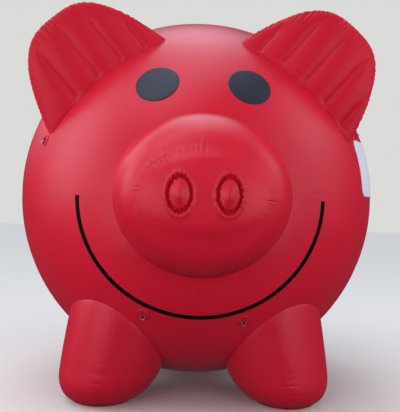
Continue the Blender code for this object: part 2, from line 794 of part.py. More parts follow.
def make_grille(outer_face):
    """Round guard over the inlet: three rings and four bars."""
    rim = INLET_RADIUS + GRILLE_RIM
    grille_mesh = cylinder("inlet_grille", rim, outer_face - GRILLE_DEPTH, outer_face, "X")
    grille = link("inlet_grille", grille_mesh, black_plastic, blower)
    for index, (inner, outer) in enumerate(GRILLE_GAPS):
        name = "grille_gap_%d" % index
        gap = link(name, cylinder(name, outer, outer_face - 0.02, outer_face + 0.02, "X", sides=16), None, blower, tools)
        core_name = "grille_core_%d" % index
        core_mesh = cylinder(core_name, inner, outer_face - 0.03, outer_face + 0.03, "X", sides=16)
        core = link(core_name, core_mesh, None, blower, tools)
        boolean(gap, core)
        for turn in range(2):
            bar_name = "grille_bar_%d_%d" % (index, turn)
            bar_mesh = box(bar_name, (outer_face - 0.03, -0.1, -0.004), (outer_face + 0.03, 0.1, 0.004))
            bar = link(bar_name, bar_mesh, None, blower, tools)
            bar.rotation_euler = (math.pi / 2.0 * turn + math.pi / 4.0, 0.0, 0.0)
            boolean(gap, bar)
        boolean(grille, gap)


def make_nozzle():
    """Outlet plate with the round pipe that the sleeve slips over."""
    drop = NOZZLE_HEIGHT - AXLE_HEIGHT
    face = -OUTLET_REACH - FIT
    half = SCROLL_WIDTH / 2.0 + SIDE_PLATE
    low = (-half, face - NOZZLE_PLATE, -SCROLL_END - SIDE_FLANGE)
    high = (half, face, SIDE_FLANGE)
    nozzle = link("blower_nozzle", box("blower_nozzle", low, high), black_plastic, blower)
    tip = face - NOZZLE_LENGTH
    centre = (0.0, drop)
    pipe_mesh = cylinder("nozzle_pipe", NOZZLE_RADIUS, tip, face - 0.004, "Y", centre, SLEEVE_SIDES)
    pipe = link("nozzle_pipe", pipe_mesh, None, blower, tools)
    way_mesh = cylinder("nozzle_way", NOZZLE_RADIUS - NOZZLE_WALL, tip - 0.05, face + 0.05, "Y", centre, SLEEVE_SIDES)
    way = link("nozzle_way", way_mesh, None, blower, tools)
    boolean(nozzle, pipe, "UNION")
    boolean(nozzle, way)


def make_motor(seat):
    """Motor block on the far side, with the bore that carries the wheel's shaft."""
    motor_mesh = cylinder("blower_motor", MOTOR_RADIUS, seat, seat + MOTOR_LENGTH, "X")
    motor = link("blower_motor", motor_mesh, grey_metal, blower)
    socket_mesh = cylinder("shaft_socket", SHAFT_RADIUS + 0.001, seat - 0.02, seat + 0.060, "X", sides=12)
    socket = link("shaft_socket", socket_mesh, None, blower, tools)
    boolean(motor, socket)


def make_wheel(seat):
    """Fan wheel: back plate, blades, front ring and shaft in one piece on the axle."""
    back = WHEEL_DEPTH / 2.0
    plate_mesh = cylinder("fan_wheel", WHEEL_RADIUS, back - 0.004, back, "X", sides=36)
    wheel = link("fan_wheel", plate_mesh, grey_metal, wheel_axle)
    rim_mesh = cylinder("wheel_rim", WHEEL_RADIUS, -back, -back + 0.005, "X", sides=36)
    rim = link("wheel_rim", rim_mesh, None, wheel_axle, tools)
    eye_mesh = cylinder("wheel_eye", WHEEL_RADIUS - 0.024, -back - 0.02, 0.0, "X", sides=36)
    boolean(rim, link("wheel_eye", eye_mesh, None, wheel_axle, tools))
    blades = bmesh.new()
    for index in range(WHEEL_BLADES):
        turn = Matrix.Rotation(2.0 * math.pi * index / WHEEL_BLADES, 4, "X")
        lean = Matrix.Rotation(math.radians(25.0), 4, "X")
        size = Matrix.Diagonal((WHEEL_DEPTH - 0.002, 0.0025, 0.019, 1.0))
        shift = Matrix.Translation((0.0, 0.0, WHEEL_RADIUS - 0.0135))
        bmesh.ops.create_cube(blades, size=1.0, matrix=turn @ shift @ lean @ size)
    blade_set = link("wheel_blades", finish_mesh(blades, "wheel_blades", False), None, wheel_axle, tools)
    hub_mesh = cylinder("wheel_hub", 0.018, back - 0.030, back + 0.010, "X", sides=16)
    hub = link("wheel_hub", hub_mesh, None, wheel_axle, tools)
    shaft_mesh = cylinder("wheel_shaft", SHAFT_RADIUS, back - 0.01, seat + 0.055, "X", sides=12)
    shaft = link("wheel_shaft", shaft_mesh, None, wheel_axle, tools)
    boolean(wheel, blade_set, "UNION")
    boolean(wheel, rim, "UNION")
    boolean(wheel, hub, "UNION")
    boolean(wheel, shaft, "UNION")


def make_base():
    """Base tray with four round feet under the housing."""
    top = -SCROLL_END - SIDE_FLANGE - FIT
    floor = -AXLE_HEIGHT
    tray_low = (-BASE_HALF_WIDTH, BASE_FRONT, top - BASE_THICKNESS)
    tray_mesh = box("blower_base", tray_low, (BASE_HALF_WIDTH, BASE_REAR, top))
    tray = link("blower_base", tray_mesh, black_rubber, blower)
    for x in (-PAD_X, PAD_X):
        for y in PAD_PLACES:
            name = "foot_%+d_%+d" % (round(x * 1000), round(y * 1000))
            foot_mesh = cylinder(name, PAD_RADIUS, floor, top - BASE_THICKNESS / 3.0, "Z", (x, y), 12)
            boolean(tray, link(name, foot_mesh, None, blower, tools), "UNION")


def make_handle():
    """Carry handle: a bar bent over the scroll, ending on its wall."""
    points = []
    for angle in (180, 180, 150, 120, 90, 60, 30, 0, 0):
        reach = math.radians(angle)
        rise = HANDLE_RISE + HANDLE_ARCH * math.sin(reach)
        points.append((0.0, HANDLE_HALF_SPAN * math.cos(reach), rise))
    points[0] = (0.0, points[0][1], 0.120)
    points[-1] = (0.0, points[-1][1], 0.120)
    handle_mesh = tube_mesh("carry_handle", points, HANDLE_RADIUS, 2)
    handle = link("carry_handle", handle_mesh, black_plastic, blower)
    outline = scroll_line(SCROLL_WALL / 2.0 + FIT)
    seat_mesh = prism("handle_seat", outline, -0.15, 0.15, "X")
    boolean(handle, link("handle_seat", seat_mesh, None, blower, tools))


def make_switch_box(seat):
    """Switch box on the motor side, with its rocker and the power inlet."""
    low = (seat, *SWITCH_BOX_LOW)
    high = (seat + SWITCH_BOX_DEPTH, *SWITCH_BOX_HIGH)
    link("switch_box", box("switch_box", low, high), black_plastic, blower)
    face = high[0]
    rocker = box("power_switch", (face + FIT, *ROCKER_LOW), (face + ROCKER_DEPTH, *ROCKER_HIGH))
    link("power_switch", rocker, grey_metal, blower)
    hood = box("power_inlet", (face + FIT, *INLET_LOW), (face + INLET_DEPTH, *INLET_HIGH))
    inlet = link("power_inlet", hood, black_plastic, blower)
    well = box("inlet_well", (face + WELL_FLOOR, *WELL_LOW), (face + WELL_END, *WELL_HIGH))
    boolean(inlet, link("inlet_well", well, None, blower, tools))


make_envelope()
make_snout()
make_eyes()
make_smile()
make_banner()
make_ears()
make_legs()
make_tethers()
make_tail()
make_vent()
make_sleeve()
make_blower()
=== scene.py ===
import math

import bmesh
import bpy
import numpy as np
from mathutils import Euler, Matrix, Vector

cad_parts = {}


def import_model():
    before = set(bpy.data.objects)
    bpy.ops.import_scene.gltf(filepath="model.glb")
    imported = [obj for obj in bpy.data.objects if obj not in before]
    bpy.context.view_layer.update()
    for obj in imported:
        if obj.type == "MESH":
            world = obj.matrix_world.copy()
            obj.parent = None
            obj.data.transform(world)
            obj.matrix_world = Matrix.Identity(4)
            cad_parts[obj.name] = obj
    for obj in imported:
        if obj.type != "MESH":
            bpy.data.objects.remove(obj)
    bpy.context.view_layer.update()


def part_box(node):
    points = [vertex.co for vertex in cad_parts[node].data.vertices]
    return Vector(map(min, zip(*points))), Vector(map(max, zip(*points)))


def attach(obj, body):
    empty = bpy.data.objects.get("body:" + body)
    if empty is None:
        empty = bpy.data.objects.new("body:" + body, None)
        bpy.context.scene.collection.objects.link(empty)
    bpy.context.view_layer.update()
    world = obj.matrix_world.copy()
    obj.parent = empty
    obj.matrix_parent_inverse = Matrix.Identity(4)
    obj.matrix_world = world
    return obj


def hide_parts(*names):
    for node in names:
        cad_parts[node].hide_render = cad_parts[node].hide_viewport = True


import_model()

# Body envelope: sixteen gores of red PVC-coated polyester, sewn together from the snout to the tail and
# held round by the blower's air. The gore seams pull in a little and pucker the cloth beside them.
BODY = "figure"


def box_of(node_name):
    """The lowest and highest corners of a CAD node."""
    return (np.array(corner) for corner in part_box(node_name))


body_low, body_high = box_of("body_envelope")
RADIUS = (body_high[0] - body_low[0]) / 2.0
MIDDLE = np.array([0.0, body_low[1] + RADIUS, (body_low[2] + body_high[2]) / 2.0])
REAR_LENGTH = body_high[1] - MIDDLE[1]
GORES = 16
GORE_TURN = 2.0 * math.pi / GORES
SEAM_DIP = 0.0007
SEAM_HALF_WIDTH = 0.006
GORE_SAG = 0.0008


def colour(hex_code):
    """A screen colour such as c8102e as linear light, by the sRGB curve."""
    screen = np.array([int(hex_code[i:i + 2], 16) for i in (0, 2, 4)]) / 255.0
    linear = np.where(screen <= 0.04045, screen / 12.92, ((screen + 0.055) / 1.055) ** 2.4)
    return (*linear.tolist(), 1.0)


def plug(tree, target, inputs):
    """Sets sockets of a node, each to a value, to another socket, or to another node's first open output."""
    for socket, value in inputs.items():
        if isinstance(value, bpy.types.Node):
            value = next(output for output in value.outputs if output.enabled)
        if isinstance(value, bpy.types.NodeSocket):
            tree.links.new(value, target.inputs[socket])
        else:
            target.inputs[socket].default_value = value


def node(tree, kind, settings=(), inputs=()):
    """Adds one node to a tree: settings are its own properties, and inputs are plugged into its sockets."""
    made = tree.nodes.new("ShaderNode" + kind)
    for name, value in dict(settings).items():
        setattr(made, name, value)
    plug(tree, made, dict(inputs))
    return made


def finish_of(name, **shader):
    """A new material with its Principled shader set by socket name; returns the material, tree and shader."""
    made = bpy.data.materials.new(name)
    made.use_nodes = True
    principled = made.node_tree.nodes["Principled BSDF"]
    for socket, value in shader.items():
        principled.inputs[socket.replace("_", " ")].default_value = value
    return made, made.node_tree, principled


def clouded(name, dark, light, clouds, rough, **shader):
    """Starts a material whose colour and roughness drift together with soft clouds in the piece's own space.
    Returns it with its tree, shader, place in space and clouded colour."""
    made, tree, principled = finish_of(name, **shader)
    place = node(tree, "TexCoord").outputs["Object"]
    cloud = node(tree, "TexNoise", inputs={"Vector": place, **clouds})
    shade = node(tree, "Mix", {"data_type": "RGBA"}, {"Factor": cloud, "A": colour(dark), "B": colour(light)})
    plug(tree, principled, {"Roughness": node(tree, "MapRange", inputs={
        "Value": cloud, "To Min": rough[0], "To Max": rough[1]})})
    return made, tree, principled, place, shade


def unit(vectors):
    """The same directions with a length of one."""
    return vectors / np.maximum(np.linalg.norm(vectors, axis=-1, keepdims=True), 1e-12)


def normals_of(points):
    """Unit normals of a grid of points: the cross product of its differences along columns and rows."""
    return unit(np.cross(np.gradient(points, axis=1), np.gradient(points, axis=0)))


def distance_along(points, axis):
    """How far each point of a grid lies from the first one of its column, axis 0, or of its row, axis 1."""
    steps = np.linalg.norm(np.diff(points, axis=axis), axis=-1)
    return np.insert(np.cumsum(steps, axis=axis), 0, 0.0, axis=axis)


def full_turn(steps):
    """Angles once round, with the first place named again at the end."""
    return np.linspace(0.0, 2.0 * math.pi, steps)


def circle(turn):
    """Points of a circle of radius one at the given angles, as two columns."""
    return np.stack([np.cos(turn), np.sin(turn)], axis=-1)


def points_at(x, y, z):
    """Points from three coordinates, each a number or a grid."""
    return np.stack(np.broadcast_arrays(x, y, z), axis=-1)


def dress(name, mesh, finish, node_name, body):
    """Puts a mesh in the scene as a smooth piece that rides on a body and stands for a CAD node."""
    mesh.shade_smooth()
    mesh.materials.append(finish)
    made = bpy.data.objects.new(name, mesh)
    bpy.context.scene.collection.objects.link(made)
    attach(made, body)
    if node_name is not None:
        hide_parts(node_name)
    return made


def surface(name, points, finish, node_name, seams=None, keep=None, body=BODY, weld=1e-5):
    """One smooth mesh from a grid of points, rows by columns. Doubled points merge, which closes seams and
    poles, and the faces are turned outwards. seams is a pair of grids, metres along the nearest seam and
    metres away from it. keep says which quads stay."""
    index = np.arange(points[..., 0].size).reshape(points.shape[:2])
    faces = np.stack([index[:-1, :-1], index[:-1, 1:], index[1:, 1:], index[1:, :-1]], axis=-1)
    faces = faces[keep] if keep is not None else faces.reshape(-1, 4)
    mesh = bpy.data.meshes.new(name)
    mesh.from_pydata(points.reshape(-1, 3), [], faces)
    if seams is not None:
        pair = np.stack(np.broadcast_arrays(*seams), axis=-1).reshape(-1, 2)
        mesh.uv_layers.new(name="seams").data.foreach_set("uv", pair[faces.ravel()].ravel())
    shape = bmesh.new()
    shape.from_mesh(mesh)
    bmesh.ops.remove_doubles(shape, verts=shape.verts, dist=weld)
    bmesh.ops.dissolve_degenerate(shape, edges=shape.edges, dist=weld)
    bmesh.ops.recalc_face_normals(shape, faces=shape.faces)
    shape.to_mesh(mesh)
    shape.free()
    return dress(name, mesh, finish, node_name, body)


def creases(run, away, pitch, reach, depth, seed):
    """Puckers beside a seam: uneven sharp valleys about one pitch apart along it, deepest at the seam and
    dying out over reach. Three sizes of fold are added, and slow waves make some stretches calmer."""
    random = np.random.default_rng(seed)
    total = np.zeros(np.broadcast_shapes(np.shape(run), np.shape(away)))
    for share in (0.55, 1.0, 1.7):
        phase, drift, calm = random.uniform(0.0, 2.0 * math.pi, 3)
        bend = 1.1 * np.sin(2.0 * math.pi * run / (pitch * share * 5.3) + drift)
        fold = 0.6 - np.abs(np.cos(math.pi * run / (pitch * share) + phase + bend)) ** 5
        stretch = 0.6 + 0.4 * np.sin(2.0 * math.pi * run / (pitch * share * 8.1) + calm)
        total = total + 0.5 * share * fold * stretch * np.exp(-(away / (reach * share)) ** 1.5)
    return depth * total


def world(right, up, forward):
    """Points of the front frame, seen from the snout, as points of the model's frame."""
    return MIDDLE + points_at(right, -np.asarray(forward), up)


def body_length(points):
    """The body's half length at points: it is round in front and longer behind."""
    return np.where(points[..., 1] <= MIDDLE[1], RADIUS, REAR_LENGTH)


def body_measure(points):
    """1 on the body's ellipsoid, less inside it and more outside."""
    offset = points - MIDDLE
    across = (offset[..., 0] ** 2 + offset[..., 2] ** 2) / RADIUS ** 2
    return np.sqrt(across + (offset[..., 1] / body_length(points)) ** 2)


def skin_normal(points):
    """Unit normals of the body's ellipsoid at points on it."""
    slope = points - MIDDLE
    slope[..., 1] *= (RADIUS / body_length(points)) ** 2
    return unit(slope)


def on_body(points, lift=0.0):
    """Moves points in or out from the body's middle onto its skin, then out by lift along the normal."""
    skin = MIDDLE + (points - MIDDLE) / body_measure(points)[..., None]
    return skin + skin_normal(skin) * np.asarray(lift)[..., None]


def crossing(path, inside, outside):
    """The share between inside and outside at which a path leaves the body, by halving the interval."""
    inner, outer, _ = np.broadcast_arrays(inside, outside, path(np.asarray(outside, float))[..., 0])
    inner, outer = inner.astype(float), outer.astype(float)
    for _ in range(30):
        middle = (inner + outer) / 2.0
        within = body_measure(path(middle)) < 1.0
        inner = np.where(within, middle, inner)
        outer = np.where(within, outer, middle)
    return outer


def red_cloth(part, pitch, height, reach, dark="cf1428", light="e01a32", thread=0.92, gloss=0.5):
    """PVC-coated polyester, woven and then coated on rollers: a clean satin red with a soft, broad gloss, a
    little uneven from folding. Beside seams the cloth is gathered, so it puckers, and the thread is a deeper
    red.
    Where the seam map is laid over a groove, as in the nostrils, that deeper red is painted shade in the
    groove.
    The weave of 1 mm threads is drawn as 4 mm, as fine as the render can show."""
    made, tree, shader, place, shade = clouded(
        "pvc_coated_polyester_" + part, dark, light, {"Scale": 1.6, "Detail": 3.0, "Roughness": 0.55},
        (0.24, 0.34), IOR=1.5, Specular_IOR_Level=gloss)
    seam = node(tree, "SeparateXYZ", inputs={"Vector": node(tree, "UVMap", {"uv_map": "seams"})})
    run, away = seam.outputs["X"], seam.outputs["Y"]
    # Seams are tinted a deeper red; in the nostrils the seam map covers the groove, so there this is painted
    # shade.
    thread_and_groove_shade = node(tree, "MapRange", inputs={
        "Value": away, "From Min": 0.002, "From Max": 0.006, "To Min": thread, "To Max": 1.0})
    tint = node(tree, "Mix", {"data_type": "RGBA", "blend_type": "MULTIPLY"},
                {"Factor": 1.0, "A": shade, "B": thread_and_groove_shade})
    along = node(tree, "Math", {"operation": "DIVIDE"}, {0: run, 1: pitch})
    across = node(tree, "Math", {"operation": "DIVIDE"}, {0: away, 1: pitch * 6.0})
    streak = node(tree, "CombineXYZ", inputs={"X": along, "Y": across})
    gather = node(tree, "TexNoise", inputs={"Vector": streak, "Scale": 1.0, "Detail": 2.0, "Roughness": 0.6})
    fade = node(tree, "MapRange", {"interpolation_type": "SMOOTHSTEP"},
                {"Value": away, "From Min": 0.0, "From Max": reach, "To Min": 1.0, "To Max": 0.0})
    pucker = node(tree, "Math", {"operation": "MULTIPLY"}, {0: gather, 1: fade})
    folds = node(tree, "Bump", inputs={"Height": pucker, "Distance": height, "Strength": 1.0})
    weave = node(tree, "TexNoise", inputs={"Vector": place, "Scale": 250.0, "Detail": 1.0})
    grain = node(tree, "Bump", inputs={"Height": weave, "Distance": 0.0004, "Strength": 0.2, "Normal": folds})
    plug(tree, shader, {"Base Color": tint, "Normal": grain})
    return made


def body_skin(along, around):
    """Points of the skin: right and up are the radius times sin(along) times the cosine and sine of around,
    and forward is cos(along) times the front or rear length. The gore seams dip in along the normal. Also
    returns how far each point lies from the nearest seam."""
    length = np.where(along <= math.pi / 2.0, RADIUS, REAR_LENGTH)
    ring = RADIUS * np.sin(along)
    plain = world(ring * np.cos(around), ring * np.sin(around), length * np.cos(along))
    gore = (around - math.pi / 2.0) / GORE_TURN
    away = np.abs(gore - np.round(gore)) * GORE_TURN * ring
    half_gore = GORE_TURN / 2.0 * np.maximum(ring, 1e-6)
    sag = GORE_SAG * (1.0 - away / half_gore) ** 2 * np.sin(along)
    return on_body(plain, -SEAM_DIP * np.exp(-away / SEAM_HALF_WIDTH) - sag), away


along, around = np.meshgrid(np.linspace(0.0, math.pi, 145), full_turn(GORES * 20 + 1), indexing="ij")
skin, seam_away = body_skin(along, around)
body_cloth = red_cloth("body", 0.030, 0.0015, 0.05)
surface("body_gores", skin, body_cloth, "body_envelope", seams=(along * RADIUS, seam_away))

# Snout: a drum of the same cloth sewn on over the face. Its side wall bulges out, and at its front a padded
# oval panel is let in with a seam that is gathered only in places.
SNOUT_STATIONS = (
    # forward, half_width, half_height, up
    (1.250, 0.488, 0.450, 0.006),
    (1.430, 0.564, 0.524, 0.006),
    (1.590, 0.589, 0.545, 0.010),
    (1.740, 0.573, 0.512, 0.012),
    (1.870, 0.505, 0.412, 0.014),
    (1.945, 0.410, 0.280, 0.016),
    (1.986, 0.300, 0.205, 0.016),
    (2.006, 0.160, 0.109, 0.016),
    (2.011, 0.000, 0.000, 0.016),
)
RING_STATION = 5
TIP_STATION = len(SNOUT_STATIONS) - 1
_, RING_HALF_WIDTH, RING_HALF_HEIGHT, RING_UP = SNOUT_STATIONS[RING_STATION]
RING_SHAPE = RING_HALF_HEIGHT / RING_HALF_WIDTH
WALL_SEAM_ANGLES = (90.0, 135.0, 157.5, 202.5, 247.5, 292.5, 337.5, 22.5, 45.0)
GATHERED = (
    # angle, spread, strength
    (103.0, 13.0, 0.40),
    (128.0, 4.0, 0.80),
    (141.0, 6.0, 1.20),
    (153.0, 5.0, 1.10),
    (171.0, 6.0, 1.00),
    (9.0, 4.0, 0.70),
    (-4.0, 5.0, 0.60),
    (-33.0, 7.0, 0.30),
    (215.0, 12.0, 0.10),
)
PLAIN_GATHER = 0.03
RING_DIP = 0.004
RING_DIP_REACH = 0.016
BASE_DIP = 0.006
BASE_DIP_REACH = 0.012
PUCKER_DEPTH = 0.014
PUCKER_PITCH = 0.024
PUCKER_REACH = 0.021
AROUND_STEPS = 641
WALL_STEPS = 60
PANEL_STEPS = 70


def smooth_through(places, values, at):
    """A smooth curve through values at rising places: cubics that take the mean of the chords' slopes."""
    slope = np.gradient(values, places)
    piece = np.clip(np.searchsorted(places, at, side="right") - 1, 0, len(places) - 2)
    span = places[piece + 1] - places[piece]
    share = (np.asarray(at) - places[piece]) / span
    start, end = values[piece], values[piece + 1]
    lead = (2 * share ** 3 - 3 * share ** 2 + 1) * start + (-2 * share ** 3 + 3 * share ** 2) * end
    lean = (share ** 3 - 2 * share ** 2 + share) * slope[piece] + (share ** 3 - share ** 2) * slope[piece + 1]
    return lead + lean * span


def through_table(table, at):
    """Every column of a table of stations as a smooth curve, read at places that count its rows."""
    columns = np.array(table, float).T
    order = np.arange(columns.shape[1], dtype=float)
    return [smooth_through(order, values, at) for values in columns]


def smooth_step(low, high, value):
    """0 below low, 1 above high, and an S-shaped rise between them."""
    share = np.clip((value - low) / (high - low), 0.0, 1.0)
    return share * share * (3.0 - 2.0 * share)


def snout_point(station, around):
    """The snout's form: an ellipse whose place, half sizes and height follow the stations smoothly."""
    forward, wide, high, up = through_table(SNOUT_STATIONS, station)
    return world(wide * np.cos(around), up + high * np.sin(around), forward)


def gathering(angle):
    """How gathered the front seam is at an angle: a low even share plus the bell curves of the table."""
    total = np.full(np.shape(angle), PLAIN_GATHER)
    for centre, spread, strength in GATHERED:
        apart = (angle - math.radians(centre) + math.pi) % (2.0 * math.pi) - math.pi
        total = total + strength * np.exp(-(apart / math.radians(spread)) ** 2)
    return total


def ring_puckers(from_ring):
    """The front seam's puckers and the dip beside it, at distances from it, and how calm the seam is: where
    it is hardly gathered, the material's own puckers are kept away by 50 mm."""
    folds = gathered * creases(ring_line, from_ring, PUCKER_PITCH, PUCKER_REACH, PUCKER_DEPTH, 3)
    dip = RING_DIP * np.clip(gathered - 0.12, 0.0, 1.0) * np.exp(-from_ring / RING_DIP_REACH)
    return folds, dip, 0.05 * (gathered < 0.2)


around = full_turn(AROUND_STEPS)
gathered = gathering(around)
ring_line = distance_along(snout_point(np.full((1, AROUND_STEPS), float(RING_STATION)), around[None]), 1)
base = crossing(lambda station: snout_point(station, around), 0.0, 2.5)
even = np.linspace(0.0, 1.0, WALL_STEPS)[:, None]
station = base + (RING_STATION - base) * (0.4 * even + 0.6 * even ** 2 * (3.0 - 2.0 * even))
wall = snout_point(station, np.broadcast_to(around, station.shape))
from_base = distance_along(wall, 0)
from_ring = from_base[-1] - from_base
apart = (np.degrees(around)[:, None] - np.array(WALL_SEAM_ANGLES) + 180.0) % 360.0 - 180.0
seam_gap = np.radians(np.abs(apart).min(axis=-1)) * 0.5
folds, dip, calm = ring_puckers(from_ring)
dip = dip + SEAM_DIP * np.exp(-seam_gap / SEAM_HALF_WIDTH) + BASE_DIP * np.exp(-from_base / BASE_DIP_REACH)
folds = folds * np.clip(from_base / 0.05, 0.0, 1.0)
folds = folds + 0.5 * creases(ring_line * 1.4, from_base, 0.08, 0.03, 0.003, 5)
normal = normals_of(wall)
outward = normal * np.sign(np.sum(normal * (wall - world(0.0, 0.0, 1.5)), axis=-1, keepdims=True))
snout_cloth = red_cloth("snout", 0.030, 0.0025, 0.045)
nearest = np.minimum(np.minimum(from_ring + calm, from_base), seam_gap)
run = np.where(seam_gap <= np.minimum(from_ring, from_base), from_base, ring_line)
surface("snout_wall_panels", wall + outward * (folds - dip)[..., None], snout_cloth, "snout_wall",
        seams=(run, nearest))

# Nostrils: an oval patch of the snout's front, pulled back by a hidden tie, so that a deep gathered groove
# runs round it and the patch itself swells forward. The groove is also painted a deeper red across its width,
# as painted shade. Each is a piece of its own, sewn into the front panel.
NOSTRIL_X = 0.150
NOSTRIL_UP = 0.016
NOSTRIL_WIDE = 0.080
NOSTRIL_HIGH = 0.121
PANEL_HOLE = 1.08
GROOVE_DEPTH = 0.024
GROOVE_PLACE = 0.90
GROOVE_HALF_WIDTH = 0.15
PATCH_SWELL = 0.030
PATCH_LIFT = 0.0009
JAG = 0.09
JAG_PITCH = 0.021
LAP = 1.40


def oval_share(points, side):
    """How far out a point lies in a nostril: 0 at its middle and 1 on its rim."""
    right = points[..., 0] - MIDDLE[0] - side * NOSTRIL_X
    up = points[..., 2] - MIDDLE[2] - NOSTRIL_UP
    return np.sqrt((right / NOSTRIL_WIDE) ** 2 + (up / NOSTRIL_HIGH) ** 2)


def panel_forward(right, up):
    """The front panel's place forward, read off its profile by the share of the oval that a point lies at."""
    forward, wide, _, _ = through_table(SNOUT_STATIONS, np.linspace(RING_STATION, TIP_STATION, 300))
    reach = np.sqrt(right ** 2 + ((up - RING_UP) / RING_SHAPE) ** 2)
    return np.interp(reach, wide[::-1], forward[::-1])


station = RING_STATION + (TIP_STATION - RING_STATION) * np.linspace(0.0, 1.0, PANEL_STEPS)[:, None] ** 1.3
station = np.broadcast_to(station, (PANEL_STEPS, AROUND_STEPS))
panel = snout_point(station, np.broadcast_to(around, station.shape))
from_ring = distance_along(panel, 0)
folds, dip, calm = ring_puckers(from_ring)
panel[..., 1] -= (folds - dip) * 0.8
middles = (panel[:-1, :-1] + panel[1:, 1:]) / 2.0
keep = np.minimum(oval_share(middles, 1), oval_share(middles, -1)) > PANEL_HOLE
surface("snout_front_panel", panel, snout_cloth, "snout_face",
        seams=(ring_line, from_ring + calm), keep=keep)

# The last number sets how deep the seam tint goes; here the seam map covers the groove, so it is painted
# shade.
nostril_cloth = red_cloth("nostril", 0.016, 0.002, 0.02, "c91326", "da192f", 0.93)
rings = np.concatenate([np.linspace(LAP, 0.62, 56), np.linspace(0.60, 0.0, 16)])
spin, out = np.meshgrid(full_turn(289), rings)
run = spin * (NOSTRIL_WIDE + NOSTRIL_HIGH) / 2.0
for name, side in (("left", 1), ("right", -1)):
    tucks = creases(run, 0.0, JAG_PITCH, 1.0, JAG, 41 + side)
    tucks_in = creases(run, 0.0, 0.027, 1.0, JAG * 0.8, 51 + side)
    off_groove = np.abs(out + tucks - GROOVE_PLACE)
    groove = np.clip(1.0 - off_groove / (GROOVE_HALF_WIDTH + tucks_in), 0.0, 1.0) ** 1.3
    swell = PATCH_SWELL * (1.0 - smooth_step(0.0, 0.86, out)) + 0.004 * np.exp(-((out - 1.14) / 0.08) ** 2)
    folds = creases(run, np.maximum(out - 1.0, 0.0) * 0.1, JAG_PITCH, 0.020, 0.005, 41 + side)
    folds = folds * smooth_step(0.98, 1.05, out) * (1.0 - smooth_step(LAP - 0.15, LAP - 0.02, out))
    right = side * NOSTRIL_X + NOSTRIL_WIDE * out * np.cos(spin)
    up = NOSTRIL_UP + NOSTRIL_HIGH * out * np.sin(spin)
    lap = np.where(out > LAP - 0.005, -0.002, PATCH_LIFT)
    patch = world(right, up, panel_forward(right, up) - GROOVE_DEPTH * groove + swell + folds + lap)
    # The seam distance is near zero across the groove, so the cloth's seam tint paints shade into the groove.
    surface("nostril_patch_" + name, patch, nostril_cloth, "nostril_well_" + name,
            seams=(run, np.maximum(off_groove - 0.05, 0.0) * 0.055))

# Ears: two-sided pillows of the same cloth. Sewn channels run out from the head and stop short of the rim,
# and the front and back panels meet in a rim seam, which gathers the cloth into many short sharp puckers.
EAR_ANGLE = math.radians(41.0)
EAR_BASE_OUT = 1.240
EAR_BASE_FORWARD = 0.930
EAR_LEAN = math.radians(15.0)
EAR_LENGTH = 0.512
EAR_HALF_WIDTH = 0.536
EAR_ROOT = -0.240
EAR_HALF_THICKNESS = 0.125
CHANNELS = {1: (-0.430, -0.225, -0.005, 0.220, 0.430), -1: (-0.414, -0.208, 0.010, 0.245)}
CHANNEL_DEPTH = 0.030
CHANNEL_WIDTH = 0.034
RIM_DEPTH = 0.012
RIM_PITCH = 0.026
RIM_REACH = 0.040
EAR_BASE_DIP = 0.006
EAR_COLUMNS = 441
EAR_ROWS = 64


def ear_axes(side):
    """An ear's base point in the front frame, and its directions: along, out to the rim, and ahead."""
    radial = np.array([side * math.sin(EAR_ANGLE), math.cos(EAR_ANGLE), 0.0])
    tangent = np.array([math.cos(EAR_ANGLE), -side * math.sin(EAR_ANGLE), 0.0])
    ahead = np.array([0.0, 0.0, 1.0])
    out = radial * math.cos(EAR_LEAN) + ahead * math.sin(EAR_LEAN)
    return radial * EAR_BASE_OUT + ahead * EAR_BASE_FORWARD, tangent, out, np.cross(tangent, out)


def ear_point(along, share, face, side):
    """A point of an ear before its seams: along its base, a share of the way from root to rim, front or back.
    The rim is a cubic arch, and the panel's height above the mid plane falls to nothing there as a root."""
    root, tangent, out, fore = ear_axes(side)
    rim = EAR_LENGTH * (1.0 - (np.abs(along) / EAR_HALF_WIDTH) ** 3)
    reach = EAR_ROOT + (rim - EAR_ROOT) * share
    thick = EAR_HALF_THICKNESS * (1.0 - 0.55 * (np.abs(along) / 0.6) ** 2)
    height = face * thick * np.clip(1.0 - share ** 1.9, 0.0, 1.0) ** 0.50
    offset = root + along[..., None] * tangent + reach[..., None] * out + height[..., None] * fore
    return world(offset[..., 0], offset[..., 1], offset[..., 2])


